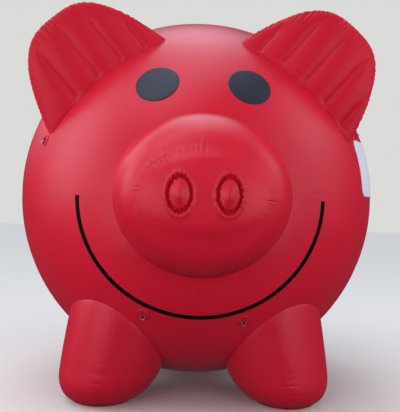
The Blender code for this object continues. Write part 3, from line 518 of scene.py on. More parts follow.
ear_cloth = red_cloth("ear", 0.018, 0.008, 0.065, "c91326", "dc1930", gloss=0.33)
for name, side in (("left", 1), ("right", -1)):
    end = float(crossing(lambda place: ear_point(place, np.ones_like(place), 1.0, side), 0.62, 0.30))
    along = end * np.sin(np.linspace(-math.pi / 2.0, math.pi / 2.0, EAR_COLUMNS))
    gap = np.abs(along[:, None] - np.array(CHANNELS[side]) * side).min(axis=-1)
    halves = []
    for face in (1, -1):
        root = crossing(lambda share: ear_point(along, share, face, side), np.zeros(EAR_COLUMNS), 1.0)
        root[[0, -1]] = 1.0
        share = root + (1.0 - root) * (1.0 - (1.0 - np.linspace(0.0, 1.0, EAR_ROWS)[:, None]) ** 1.5)
        panel = ear_point(np.broadcast_to(along, share.shape), share, face, side)
        from_base = distance_along(panel, 0)
        from_rim = from_base[-1] - from_base
        rim_line = np.broadcast_to(distance_along(panel[-1:], 1), share.shape)
        sewn = smooth_step(0.05, 0.22, from_rim)
        relief = creases(rim_line, from_rim, RIM_PITCH, RIM_REACH, RIM_DEPTH, 21 + side + face)
        relief = relief * (0.25 + 0.75 * smooth_step(0.0, 0.018, from_rim))
        relief = (relief - EAR_BASE_DIP * np.exp(-from_base / 0.014)) * smooth_step(0.0, 0.010, from_rim)
        channel = CHANNEL_DEPTH * sewn * np.exp(-gap / CHANNEL_WIDTH) * smooth_step(0.0, 0.04, from_base)
        normal = normals_of(panel)
        ahead = world(*(ear_axes(side)[3] * face)) - MIDDLE
        outward = normal * np.sign(np.sum(normal * ahead, axis=-1, keepdims=True))
        seam_gap = gap + (1.0 - sewn) * 0.3
        nearest = np.minimum(np.minimum(seam_gap + 0.05, from_rim), from_base + 0.03)
        halves.append((panel + outward * (relief - channel)[..., None], rim_line, nearest))
    grid, runs, gaps = (np.concatenate([front, back[::-1][1:]]) for front, back in zip(*halves))
    surface("ear_panels_" + name, grid, ear_cloth, "ear_" + name, seams=(runs, gaps), weld=2e-5)

# Eyes: two ovals of dark grey-blue vinyl, laid flat on the skin. Each is sewn down all round, with one row
# of stitches near its edge.
EYE_X = 0.331
EYE_UP = 0.805
EYE_HALF_WIDTH = 0.160
EYE_HALF_HEIGHT = 0.159
LIFT = 0.003
SINK = 0.004
STITCH_ROW = 0.012
STITCH_LENGTH = 0.008


def vinyl(name, dark, light, rough, stitch, shine=0.5):
    """Calendered vinyl film on a cloth backing: an even satin with faint clouding from the rollers and a low
    orange-peel grain, drawn as 10 mm. A row of 8 mm stitches runs 12 mm inside the edge."""
    made, tree, shader, place, shade = clouded(
        name, dark, light, {"Scale": 5.0, "Detail": 3.0}, (rough - 0.06, rough + 0.08), IOR=1.5,
        Specular_IOR_Level=shine)
    seam = node(tree, "SeparateXYZ", inputs={"Vector": node(tree, "UVMap", {"uv_map": "seams"})})
    from_row = node(tree, "Math", {"operation": "SUBTRACT"}, {0: seam.outputs["Y"], 1: STITCH_ROW})
    off_row = node(tree, "Math", {"operation": "ABSOLUTE"}, {0: from_row})
    on_row = node(tree, "Math", {"operation": "LESS_THAN"}, {0: off_row, 1: 0.002})
    angle = node(tree, "Math", {"operation": "MULTIPLY"}, {
        0: seam.outputs["X"], 1: 2.0 * math.pi / STITCH_LENGTH})
    wave = node(tree, "Math", {"operation": "SINE"}, {0: angle})
    dash = node(tree, "Math", {"operation": "GREATER_THAN"}, {0: wave, 1: -0.3})
    thread = node(tree, "Math", {"operation": "MULTIPLY"}, {0: on_row, 1: dash})
    sewn = node(tree, "Mix", {"data_type": "RGBA"}, {"Factor": thread, "A": shade, "B": colour(stitch)})
    peel = node(tree, "TexNoise", inputs={"Vector": place, "Scale": 100.0, "Detail": 2.0})
    rise = node(tree, "Math", {"operation": "ADD"}, {0: peel, 1: thread})
    bump = node(tree, "Bump", inputs={"Height": rise, "Distance": 0.0006, "Strength": 0.35})
    plug(tree, shader, {"Base Color": sewn, "Normal": bump})
    return made


def pad_on_skin(name, outline, finish, node_name, thickness=LIFT, rows=24):
    """A flat patch laid on the body: the outline is drawn together to its middle in rows, every point is
    moved onto the skin and lifted by the thickness, and the last rows turn down through the skin."""
    centre = outline[:-1].mean(axis=0)
    share = np.concatenate([np.linspace(0.0, 1.0, rows), [1.0, 1.0]])[:, None, None]
    grid = centre + (outline - centre) * share
    lift = np.full(grid.shape[:2], thickness)
    lift[-3:] = np.array([thickness * 0.8, 0.0, -SINK])[:, None]
    points = on_body(grid, lift)
    edge = distance_along(points[-3:-2], 1)
    away = distance_along(points[:-2], 0)
    inward = np.concatenate([away[-1] - away, np.zeros((2, away.shape[1]))])
    return surface(name, points, finish, node_name, seams=(edge, inward))


def frame_at(right, up, forward, upright):
    """A point of the skin with its side, rise and normal: rise leans towards the upright direction."""
    point = on_body(world(right, up, forward))
    normal = skin_normal(point)
    side = unit(np.cross(upright, normal))
    return point, side, np.cross(normal, side), normal


def oval_at(point, side, rise, half_width, half_height, steps):
    """A closed oval line round a point, in the plane of side and rise."""
    turn = full_turn(steps)[:, None]
    return point + side * half_width * np.cos(turn) + rise * half_height * np.sin(turn)


eye_vinyl = vinyl("dark_grey_vinyl", "1d222a", "272d37", 0.36, "15181d")
for name, x in (("left", EYE_X), ("right", -EYE_X)):
    ahead = math.sqrt(RADIUS ** 2 - EYE_X ** 2 - EYE_UP ** 2)
    point, side, rise, _ = frame_at(x, EYE_UP, ahead, np.array([x, 0.0, EYE_UP]))
    oval = oval_at(point, side, rise, EYE_HALF_WIDTH, EYE_HALF_HEIGHT, 145)
    pad_on_skin("eye_patch_" + name, oval, eye_vinyl, "eye_" + name)

# Smile: one narrow band of black vinyl with square ends. It is cut as half an oval ring and sewn on round
# the snout, well clear of it.
SMILE_HALF_SPAN = 0.880
SMILE_DROP = 0.857
SMILE_WIDTH = 0.031
SMILE_STEPS = 481
smile_vinyl = vinyl("black_vinyl_band", "010101", "030303", 0.50, "020202", shine=0.18)
angle = np.linspace(math.pi, 2.0 * math.pi, SMILE_STEPS)[None, :]
across = np.array([-0.5, -0.5, -0.44, -0.2, 0.0, 0.2, 0.44, 0.5, 0.5])[:, None] * SMILE_WIDTH
lift = np.array([-SINK, 0.0, LIFT, LIFT, LIFT, LIFT, LIFT, 0.0, -SINK])[:, None] + 0.0 * angle
lift[:, [0, -1]] = -SINK
right, up = (SMILE_HALF_SPAN + across) * np.cos(angle), (SMILE_DROP + across) * np.sin(angle)
band = on_body(world(right, up, np.sqrt(RADIUS ** 2 - right ** 2 - up ** 2)), lift)
surface("smile_band", band, smile_vinyl, "smile",
        seams=(distance_along(band, 1), SMILE_WIDTH / 2.0 - np.abs(across)))

# Flank panel: a blank white vinyl panel with round corners, sewn on the figure's left side. It lies flat on
# the skin, with one row of stitches near its edge.
PANEL_LOW = 0.045
PANEL_HIGH = 0.495
PANEL_REAR = -0.43
PANEL_FRONT = 0.85
PANEL_CORNER = 0.06


def recut(line, pieces):
    """A line in a plane, cut again into equal pieces."""
    run = distance_along(line, 0)
    even = np.linspace(0.0, run[-1], pieces + 1)
    return np.stack([np.interp(even, run, line[:, axis]) for axis in range(2)], axis=-1)


def rounded_outline(low, high, back, ahead, corner, steps=10, edge_steps=24):
    """A closed line round a rectangle with round corners, as two columns, cut in equal steps all round."""
    corners = ((high, ahead, 0.0), (low, ahead, 90.0), (low, back, 180.0), (high, back, 270.0))
    middle_a, middle_b = (low + high) / 2.0, (back + ahead) / 2.0
    line = []
    for a, b, start in corners:
        inner = np.array([a - math.copysign(corner, a - middle_a), b - math.copysign(corner, b - middle_b)])
        line.append(inner + corner * circle(np.radians(start + np.linspace(0.0, 90.0, steps))))
    return recut(np.concatenate(line + [line[0][:1]]), 4 * edge_steps)


panel_line = rounded_outline(PANEL_LOW, PANEL_HIGH, PANEL_REAR, PANEL_FRONT, PANEL_CORNER)
up, forward = panel_line.T
right = np.sqrt(RADIUS ** 2 - up ** 2 - forward ** 2)
banner_vinyl = vinyl("white_vinyl", "e2e2df", "f1f1ee", 0.40, "c9c9c6")
pad_on_skin("flank_panel", world(right, up, forward), banner_vinyl, "banner_panel", rows=40)

# Vent flap: a long strip of the red cloth on the back, over the zip that lets the air out. It is drawn shut,
# with its row of stitches near the edge.
VENT_HALF_LENGTH = 0.42
VENT_HALF_HEIGHT = 0.06
VENT_UP = -0.33
VENT_CORNER = 0.03
flap_line = rounded_outline(VENT_UP - VENT_HALF_HEIGHT, VENT_UP + VENT_HALF_HEIGHT, -VENT_HALF_LENGTH,
                            VENT_HALF_LENGTH, VENT_CORNER)
up, right = flap_line.T
flap = world(right, up, -REAR_LENGTH * np.sqrt(1.0 - (up ** 2 + right ** 2) / RADIUS ** 2))
flap_vinyl = vinyl("pvc_flap_cloth", "a5142a", "b81a32", 0.42, "6d0c1a")
pad_on_skin("vent_flap_strip", flap, flap_vinyl, "vent_flap", thickness=0.004)

# Legs: four stub legs of the same cloth, each a wide tube sewn to the belly and drawn in at the foot, where a
# tougher round sole is sewn in. Air presses the foot's edge into a round roll with small puckers at the seam.
LEG_STATIONS = (
    # height, centre_x, centre_y, radius
    (0.010, 0.745, 0.680, 0.225),
    (0.022, 0.742, 0.680, 0.262),
    (0.055, 0.733, 0.680, 0.312),
    (0.103, 0.719, 0.680, 0.353),
    (0.160, 0.701, 0.681, 0.384),
    (0.220, 0.684, 0.682, 0.402),
    (0.300, 0.661, 0.684, 0.415),
    (0.450, 0.625, 0.695, 0.428),
    (0.750, 0.555, 0.720, 0.442),
    (1.050, 0.480, 0.740, 0.440),
)
REAR_LEG_SHIFT = 0.090
LEG_GIRTH = 0.40
LEG_RADIUS = 0.42
FOOT_ROLL = 0.03
LEG_COLUMNS = 257
LEG_ROWS = 84
FOOT_PITCH = 0.045
SHIN_SEAM = math.radians(84.0)
SOLE_PROFILE = (
    # share of the radius, share of half the thickness
    (0.0, -1.0), (0.5, -1.0), (0.96, -1.0), (0.99, -0.7), (1.0, -0.3), (1.0, 0.3), (0.99, 0.7), (0.96, 1.0),
    (0.5, 1.0), (0.0, 1.0),
)


def leg_point(station, turn, side, rear):
    """A point of a leg: circles whose middle and radius follow the stations, mirrored to its corner."""
    height, centre_x, centre_y, radius = through_table(LEG_STATIONS, station)
    y = rear * (centre_y + (REAR_LEG_SHIFT if rear > 0 else 0.0)) + radius * np.sin(turn)
    return points_at(side * centre_x + radius * np.cos(turn), MIDDLE[1] + y, height)


leg_cloth = red_cloth("leg", 0.040, 0.0030, 0.07, "c21528", "d51b31")
sole_cloth = vinyl("coated_sole_cloth", "8f1024", "a3142a", 0.55, "4d0812")
turn = full_turn(LEG_COLUMNS)
foot_line = turn * LEG_GIRTH
for name, side, rear in (("front_left", 1, -1), ("front_right", -1, -1),
                         ("rear_left", 1, 1), ("rear_right", -1, 1)):
    corner = side + 2 * rear
    top = crossing(lambda station: leg_point(station, turn, side, rear), float(len(LEG_STATIONS) - 1), 0.5)
    leg = leg_point(top * np.linspace(0.0, 1.0, LEG_ROWS)[:, None] ** 0.9, turn, side, rear)
    from_sole = distance_along(leg, 0)
    from_body = from_sole[-1] - from_sole
    outward = unit((leg - leg.mean(axis=1, keepdims=True)) * [1.0, 1.0, 0.0])
    relief = creases(foot_line, np.abs(from_sole - FOOT_ROLL), FOOT_PITCH, 0.06, 0.006, 61 + corner)
    relief = relief + 0.35 * creases(foot_line, from_body, 0.07, 0.04, 0.006, 71 + corner)
    seam_turn = -SHIN_SEAM if side > 0 else SHIN_SEAM - math.pi
    seam_gap = np.abs((turn - seam_turn + math.pi) % (2.0 * math.pi) - math.pi) * LEG_RADIUS
    shin = creases(from_sole, seam_gap, 0.036, 0.034, 0.0040, 81 + corner) * smooth_step(0.1, 0.2, from_sole)
    relief = relief + shin * smooth_step(0.1, 0.3, from_body) - 0.0015 * np.exp(-seam_gap / 0.010)
    relief = relief * smooth_step(0.0, 0.02, from_sole) * smooth_step(0.0, 0.01, from_body)
    relief = relief - 0.005 * np.exp(-from_body / 0.012)
    along = np.where(seam_gap < np.minimum(from_sole, from_body), from_sole, foot_line)
    nearest = np.minimum(np.minimum(from_sole + 0.004, from_body), seam_gap)
    surface("leg_tube_" + name, leg + outward * relief[..., None], leg_cloth, "leg_" + name,
            seams=(along, nearest))
    low, high = box_of("sole_" + name)
    reach, _, thick = (high - low) / 2.0
    share, rise = np.array(SOLE_PROFILE).T[:, :, None]
    spin = full_turn(97)
    sole = points_at(reach * share * np.cos(spin), reach * share * np.sin(spin), thick * rise)
    surface("sole_disc_" + name, sole + (low + high) / 2.0, sole_cloth, "sole_" + name,
            seams=(spin * reach, (1.0 - share) * reach))

# Tether points: a round patch of the body's cloth with a loop of polyester webbing sewn to it, and a welded
# D-ring of bright zinc-plated steel through the loop, for the guy lines.
TETHERS = (
    # name, right, up, forward
    ("front_left", 0.343, -0.901, 1.260),
    ("front_right", -0.405, -0.873, 1.262),
    ("side_left", 1.292, 0.580, 0.715),
    ("side_right", -1.233, 0.427, 0.904),
    ("rear_left", 0.900, 0.250, -1.250),
    ("rear_right", -0.900, 0.250, -1.250),
)
PATCH_RADIUS = 0.048
PATCH_THICKNESS = 0.005
TAB_WIDTH = 0.024
TAB_MIDDLE = 0.011
TAB_FLAT = ((0.004, 0.034), (0.005, 0.030), (0.0062, 0.012))
RING_RADIUS = 0.017
RING_WIRE = 0.0035
RING_HANG = math.radians(70.0)
TAB_LOOP = RING_WIRE + 0.0022


def webbing(name, dark, light):
    """Woven polyester webbing: matt, with a fine rib across it. The 2 mm ribs are drawn at 4 mm."""
    made, tree, shader = finish_of(name, IOR=1.46, Specular_IOR_Level=0.3, Roughness=0.85)
    ribs = node(tree, "TexWave", {"bands_direction": "DIAGONAL"}, {
        "Vector": node(tree, "TexCoord").outputs["Object"], "Scale": 80.0, "Distortion": 0.6}).outputs["Fac"]
    shade = node(tree, "Mix", {"data_type": "RGBA"}, {"Factor": ribs, "A": colour(dark), "B": colour(light)})
    bump = node(tree, "Bump", inputs={"Height": ribs, "Distance": 0.001, "Strength": 0.6})
    plug(tree, shader, {"Base Color": shade, "Normal": bump})
    return made


def metal(name, hex_code, low, high, scale=60.0):
    """Plated or cast metal: the colour barely varies, and fine scuffs make the gloss uneven."""
    made, tree, shader = finish_of(name, Base_Color=colour(hex_code), Metallic=1.0)
    scuffs = node(tree, "TexNoise", inputs={
        "Vector": node(tree, "TexCoord").outputs["Object"], "Scale": scale, "Detail": 5.0})
    rough = node(tree, "MapRange", inputs={"Value": scuffs, "To Min": low, "To Max": high})
    bump = node(tree, "Bump", inputs={"Height": scuffs, "Distance": 0.0004, "Strength": 0.3})
    plug(tree, shader, {"Roughness": rough, "Normal": bump})
    return made


def tube(path, radius, sides=16):
    """A grid round a path: circles of the given radii, square to it, turned as little as possible."""
    heading = unit(np.gradient(path, axis=0))
    start = np.cross(heading[0], [0.0, 0.0, 1.0] if abs(heading[0][2]) < 0.9 else [1.0, 0.0, 0.0])
    flats = [unit(start)]
    for step in heading[1:]:
        flats.append(unit(flats[-1] - step * (flats[-1] @ step)))
    flats = np.array(flats)
    spin = full_turn(sides + 1)[None, :, None]
    ring = flats[:, None] * np.cos(spin) + np.cross(heading, flats)[:, None] * np.sin(spin)
    return path[:, None] + ring * np.broadcast_to(radius, len(path))[:, None, None]


def thicken(piece, thickness, offset=0.0):
    """Gives an open piece the thickness of its cloth or sheet."""
    wall = piece.modifiers.new("thickness", "SOLIDIFY")
    wall.thickness = thickness
    wall.offset = offset


patch_cloth = red_cloth("patch", 0.020, 0.0015, 0.02)
tab_webbing = webbing("red_polyester_webbing", "86121f", "a51a2b")
ring_steel = metal("zinc_plated_steel", "c9c8c4", 0.28, 0.42)
sweep = np.linspace(0.0, math.pi, 17)
flat_end = np.array(TAB_FLAT).T
out = np.concatenate([flat_end[0], TAB_MIDDLE + TAB_LOOP * np.sin(sweep), flat_end[0, ::-1]])
flat = np.concatenate([flat_end[1], TAB_LOOP * np.cos(sweep), -flat_end[1, ::-1]])
width = np.array([-0.5, -0.47, 0.0, 0.47, 0.5]) * TAB_WIDTH
for name, right, up, forward in TETHERS:
    point, side, rise, normal = frame_at(right, up, forward, np.array([0.0, 0.0, 1.0]))
    disc = oval_at(point, side, rise, PATCH_RADIUS, PATCH_RADIUS, 73)
    pad_on_skin("tether_disc_" + name, disc, patch_cloth, "tether_patch_" + name,
                PATCH_THICKNESS, 14)
    line = point + normal * out[:, None] + rise * flat[:, None]
    thicken(surface("tether_tab_" + name, line[:, None] + side * width[None, :, None], tab_webbing,
                    "tether_patch_" + name), 0.0018)
    hang = normal * math.cos(RING_HANG) - rise * math.sin(RING_HANG)
    ring_middle = point + normal * TAB_MIDDLE + hang * RING_RADIUS
    ring = oval_at(ring_middle, side, hang, RING_RADIUS, RING_RADIUS, 65)
    spin = full_turn(17)[None, :, None]
    outward = (ring - ring_middle) / RING_RADIUS
    wire = ring[:, None] + RING_WIRE * (outward[:, None] * np.cos(spin) - np.cross(side, hang) * np.sin(spin))
    surface("tether_loop_" + name, wire, ring_steel, "tether_ring_" + name)

# Tail: a slim sewn tube that leaves the rear pole and winds round once. The cloth ripples a little along it,
# and the tip is closed with a drawn seam.
TAIL_COIL = 0.105
TAIL_PITCH = 0.170
TAIL_TUBE = 0.042
TAIL_TURNS = 1.35
TAIL_TIP = 0.045
TAIL_SIDES = 48
share = np.linspace(0.0, 1.0, 200)
angle = 2.0 * math.pi * TAIL_TURNS * share - math.pi / 2.0
swell = TAIL_COIL * np.minimum(1.0, share * 3.0)
path = world(swell * np.cos(angle), swell * (np.sin(angle) + 0.6) + 0.05,
             -(REAR_LENGTH - 0.06 + TAIL_PITCH * 1.7 * share))
into_tip = ((share - 1.0 + TAIL_TIP) / TAIL_TIP).clip(0.0)
radius = TAIL_TUBE * np.sqrt(np.clip(1.0 - into_tip ** 2, 0.0, 1.0)) * (1.0 - 0.12 * share)
coil = tube(path, radius, TAIL_SIDES)
length_run = distance_along(coil, 0)
ripple = creases(length_run, 0.0, 0.030, 1.0, 0.0022, 81)
coil = coil + (coil - path[:, None]) / TAIL_TUBE * ripple[..., None]
around_tube = full_turn(TAIL_SIDES + 1) * TAIL_TUBE
surface("tail_coil", coil, red_cloth("tail", 0.020, 0.002, 0.03), "tail",
        seams=(length_run, np.minimum(around_tube, around_tube[::-1])))

# Inlet sleeve: a tapered tube of the cloth from a port under the tail down to the blower. It sags under its
# own weight, wrinkles across the bend, and gathers where the strap cinches it on the nozzle.
SLEEVE_STATIONS = (
    # y, height, radius, fall
    (1.170, 0.9600, 0.1650, 38.0),
    (1.430, 0.7500, 0.1650, 40.0),
    (1.620, 0.5700, 0.1580, 43.0),
    (1.790, 0.4000, 0.1480, 42.0),
    (1.960, 0.2650, 0.1340, 33.0),
    (2.110, 0.1900, 0.1200, 17.0),
    (2.230, 0.1625, 0.1103, 0.0),
    (2.372, 0.1625, 0.1103, 0.0),
)
SLEEVE_GIRTH = 0.13
STRAP_STATION = 6.55


def sleeve_point(station, turn):
    """A point of the sleeve: circles that lean with its fall, whose middle and radius follow the stations."""
    y, height, radius, fall = through_table(SLEEVE_STATIONS, station)
    lean = np.radians(fall)
    rise = radius * np.sin(turn)
    return points_at(radius * np.cos(turn), MIDDLE[1] + y + rise * np.sin(lean), height + rise * np.cos(lean))


turn = full_turn(121)
base = crossing(lambda station: sleeve_point(station, turn), 0.0, 4.0)
station = base + (len(SLEEVE_STATIONS) - 1 - base) * np.linspace(0.0, 1.0, 180)[:, None]
sleeve = sleeve_point(station, turn)
down = distance_along(sleeve, 0)
girth = turn * SLEEVE_GIRTH
ripples = creases(down + 0.02 * np.sin(turn * 3.0), 0.0, 0.085, 1.0, 0.008, 91)
ripples = ripples * np.clip(station - 0.6, 0.0, 1.0) * np.clip(6.0 - station, 0.0, 1.0)
gathers = creases(girth, np.abs(station - STRAP_STATION) * 0.12, 0.028, 0.05, 0.005, 93)
gathers = gathers * np.clip((6.0 - station) / 0.4, 0.0, 1.0)
edges = 0.0015 * np.exp((down - down[-1]) / 0.010) - 0.004 * np.exp(-down / 0.012)
outward = unit(sleeve - sleeve.mean(axis=1, keepdims=True))
thicken(surface("sleeve_tube", sleeve + outward * (ripples + gathers + edges)[..., None],
                red_cloth("sleeve", 0.030, 0.003, 0.05), "inlet_sleeve",
                seams=(girth, np.minimum(down, down[-1] - down))), 0.004, -1.0)

# Strap: flat black polyester webbing pulled tight round the sleeve's end. It runs through a zinc cam buckle
# on top, whose lever clamps it.
STRAP_INNER = 0.1108
STRAP_WIDTH = 0.035
STRAP_THICKNESS = 0.0022
STRAP_Y = 2.3075
STRAP_HEIGHT = 0.1625
STRAP_PROFILE = (
    # share of the width, share of the thickness
    (-0.5, 0.0), (-0.5, 1.0), (-0.47, 1.5), (0.0, 1.7), (0.47, 1.5), (0.5, 1.0), (0.5, 0.0), (-0.5, 0.0),
)
across, lift = np.array(STRAP_PROFILE).T[:, :, None]
spin = full_turn(145)
reach = STRAP_INNER + STRAP_THICKNESS * lift
strap = points_at(reach * np.cos(spin), MIDDLE[1] + STRAP_Y + STRAP_WIDTH * across,
                  STRAP_HEIGHT + reach * np.sin(spin))
surface("strap_band", strap, webbing("black_polyester_webbing", "0c0c0d", "1c1c1e"), "sleeve_strap")


def rounded_block(name, low, high, corner, finish, node_name, segments=3):
    """A block between two corners, its edges rounded by a bevel of the given size."""
    low, high = np.array(low), np.array(high)
    shape = bmesh.new()
    bmesh.ops.create_cube(shape, size=1.0)
    mesh = bpy.data.meshes.new(name)
    shape.to_mesh(mesh)
    shape.free()
    corners = np.empty(24)
    mesh.vertices.foreach_get("co", corners)
    mesh.vertices.foreach_set("co", ((low + high) / 2.0 + corners.reshape(-1, 3) * (high - low)).ravel())
    edge = dress(name, mesh, finish, node_name, BODY).modifiers.new("edges", "BEVEL")
    edge.width = corner
    edge.segments = segments
    edge.harden_normals = True


buckle_steel = metal("buckle_zinc", "a8a8a5", 0.25, 0.45)
buckle = np.array([0.0, MIDDLE[1] + STRAP_Y, STRAP_HEIGHT + STRAP_INNER + 0.004])
for part, low, high, corner in (("plate", (-0.020, -0.0215, 0.0), (0.020, 0.0215, 0.005), 0.0015),
                                ("lever", (-0.012, -0.017, 0.0045), (0.014, 0.017, 0.0115), 0.003)):
    rounded_block("strap_buckle_" + part, buckle + low, buckle + high, corner, buckle_steel, "sleeve_strap")

# Blower housing: a snail-shell scroll of rotationally moulded polyethylene between two bolted sides. The
# mould leaves a fine pebbled grain, and the edges that get knocked are paler.
SCROLL_START = 0.145
SCROLL_END = 0.215
SCROLL_WIDTH = 0.200
SCROLL_WALL = 0.005
SCROLL_RIB = 0.0018
OUTLET_REACH = 0.260
INLET_RADIUS = 0.085
SHAFT_HOLE = 0.030
SIDE_FLANGE = 0.012
SIDE_PLATE = 0.005
SIDE_PROFILE = (
    # share of the way from the hole to the outline, share of the thickness
    (0.0, 1.0), (0.04, 1.0), (0.08, 1.0), (0.3, 1.0), (0.7, 1.0), (0.95, 1.0), (0.985, 0.93), (1.0, 0.7),
    (1.0, 0.3), (0.985, 0.0), (0.0, 0.0), (0.0, 1.0),
)
FIT = 0.0003
scroll_low, _ = box_of("blower_scroll")
AXLE = np.array([0.0, scroll_low[1] + OUTLET_REACH, scroll_low[2] + SCROLL_END + SCROLL_WALL / 2.0])


def plastic(name, dark, light, rough, grain=180.0, worn="8a8f98", wear=0.0):
    """Moulded plastic: one colour with slight clouding, a fine pebbled grain drawn at about 5 mm, and paler
    rubbed edges where wear is given."""
    made, tree, shader, place, shade = clouded(
        name, dark, light, {"Scale": 9.0, "Detail": 4.0}, (rough - 0.05, rough + 0.08), IOR=1.49,
        Specular_IOR_Level=0.5)
    edges = node(tree, "MapRange", inputs={
        "Value": node(tree, "NewGeometry").outputs["Pointiness"], "From Min": 0.52, "From Max": 0.62,
        "To Min": 0.0, "To Max": wear})
    rubbed = node(tree, "Mix", {"data_type": "RGBA"}, {"Factor": edges, "A": shade, "B": colour(worn)})
    pebble = node(tree, "TexVoronoi", {"feature": "SMOOTH_F1"}, {"Vector": place, "Scale": grain})
    bump = node(tree, "Bump", inputs={"Height": pebble, "Distance": 0.0006, "Strength": 0.4})
    plug(tree, shader, {"Base Color": rubbed, "Normal": bump})
    return made


def scroll_line(grown):
    """The scroll's line as y and z from the axle: straight along the top of the outlet, then round the wheel
    with a radius that grows evenly through three quarters of a turn, then straight along its bottom."""
    turn = np.linspace(max(grown, 0.0) / SCROLL_START, 1.5 * math.pi, 96)
    radius = SCROLL_START + (SCROLL_END - SCROLL_START) * turn / turn[-1] + grown
    round_part = radius[:, None] * circle(turn) * [-1.0, 1.0]
    round_part[0, 1] = grown
    return np.concatenate([[[-OUTLET_REACH, grown]], round_part, [[-OUTLET_REACH, -SCROLL_END - grown]]])


def at_axle(x, yz):
    """Points beside the axle from an offset along it and columns of y and z across it."""
    return AXLE + points_at(x, yz[..., 0], yz[..., 1])


def closed_line(line, spacing):
    """A closed line through the points of an open one, cut again at about even spacing."""
    line = np.concatenate([line, line[:1]])
    return recut(line, int(distance_along(line, 0)[-1] / spacing))


housing_plastic = plastic("blue_rotomoulded_polyethylene", "0f2c5e", "163a78", 0.46, wear=0.35)
inner, outer = scroll_line(-SCROLL_WALL / 2.0), scroll_line(SCROLL_WALL / 2.0)
half = SCROLL_WIDTH / 2.0
widths = np.linspace(-half, half, 21)[:, None]
rib = SCROLL_RIB * (np.abs(np.abs(widths) - half * 0.55) < half * 0.09)
swollen = outer + (outer - inner) / SCROLL_WALL * rib[..., None]
shell = np.concatenate([at_axle(widths, swollen), at_axle(widths[::-1], inner[None]),
                        at_axle(widths[:1], swollen[:1])])
surface("scroll_shell", shell, housing_plastic, "blower_scroll")
side_near = half + FIT
side_far = side_near + SIDE_PLATE
flange = closed_line(scroll_line(SIDE_FLANGE), 0.006)
share, depth = np.array(SIDE_PROFILE).T[:, :, None]
for label, outward, hole_radius in (("inlet", -1.0, INLET_RADIUS), ("motor", 1.0, SHAFT_HOLE)):
    hole = hole_radius * circle(np.arctan2(flange[:, 1], flange[:, 0]))
    plate = at_axle(outward * (side_near + SIDE_PLATE * depth), hole + (flange - hole) * share[..., None])
    surface("side_%s_plate" % label, plate, housing_plastic, "blower_side_" + label)

# Housing bolts: zinc-plated M5 hexagon heads on round washers, all round the flange of each side, apart from
# the outlet's mouth and the place of the switch box.
BOLT_RADIUS = 0.0042
BOLT_HEIGHT = 0.0032
BOLT_SPACING = 0.085
BOLT_INSET = 0.52
MOUTH_GAP = 0.012
BOX_PLACE = 0.105
BOX_GAP = 0.052
BOLT_PROFILE = (
    # share of the radius, share of the height
    (0.0, 0.0), (1.35, 0.0), (1.35, 0.25), (1.0, 0.25), (1.0, 0.85), (0.82, 1.0), (0.0, 1.0),
)
bolt_steel = metal("zinc_plated_bolt_steel", "b9b8b2", 0.28, 0.42)
seats = closed_line(scroll_line(SIDE_FLANGE * BOLT_INSET), BOLT_SPACING)[:-1]
seats = seats[seats[:, 0] > -OUTLET_REACH + MOUTH_GAP]
seats = seats[~((np.abs(seats[:, 0] - BOX_PLACE) < BOX_GAP) & (seats[:, 1] > 0.0))]
share, rise = np.array(BOLT_PROFILE).T[:, :, None]
hexagon = BOLT_RADIUS * circle(full_turn(7))
for label, outward in (("inlet", -1.0), ("motor", 1.0)):
    for number, seat in enumerate(seats):
        head = at_axle(outward * (side_far + BOLT_HEIGHT * rise), seat + hexagon * share[..., None])
        surface("housing_bolt_%s_%02d" % (label, number), head, bolt_steel, None).data.shade_flat()

# Inlet guard: rings and spokes welded from 4 mm steel wire and powder-coated black. It closes the eye of the
# housing, so that no hand reaches the wheel.
GUARD_WIRE = 0.0021
GUARD_RINGS = (0.016, 0.032, 0.048, 0.064, 0.080, 0.095)
GUARD_SPOKES = 4
GUARD_REACH = 0.098
guard_coat = plastic("black_powder_coat", "0a0a0b", "141415", 0.48, grain=320.0)
guard_x = -(side_far + FIT + 0.0030)


def turned_part(name, profile, finish, node_name, body=BODY, steps=145):
    """A part turned on the axle: a profile of offsets along it and radii, swept round."""
    x, radius = np.array(profile).T[:, :, None]
    swept = at_axle(x, radius[..., None] * circle(full_turn(steps)))
    surface(name, swept, finish, node_name, body=body)


for number, radius in enumerate(GUARD_RINGS):
    wire = GUARD_WIRE * circle(full_turn(11))[:, ::-1] + [guard_x, radius]
    turned_part("guard_ring_%d" % number, wire, guard_coat, "inlet_grille", steps=97)
reach = np.linspace(-GUARD_REACH, GUARD_REACH, 24)
thick = np.where(np.abs(reach) > GUARD_REACH - 0.0005, 0.0, GUARD_WIRE * 0.9)
for number in range(GUARD_SPOKES):
    lean = math.pi / GUARD_SPOKES * (number + 0.5)
    spoke = at_axle(guard_x - 0.0008, reach[:, None] * circle(lean))
    surface("guard_spoke_%d" % number, tube(spoke, thick, 12), guard_coat, "inlet_grille")

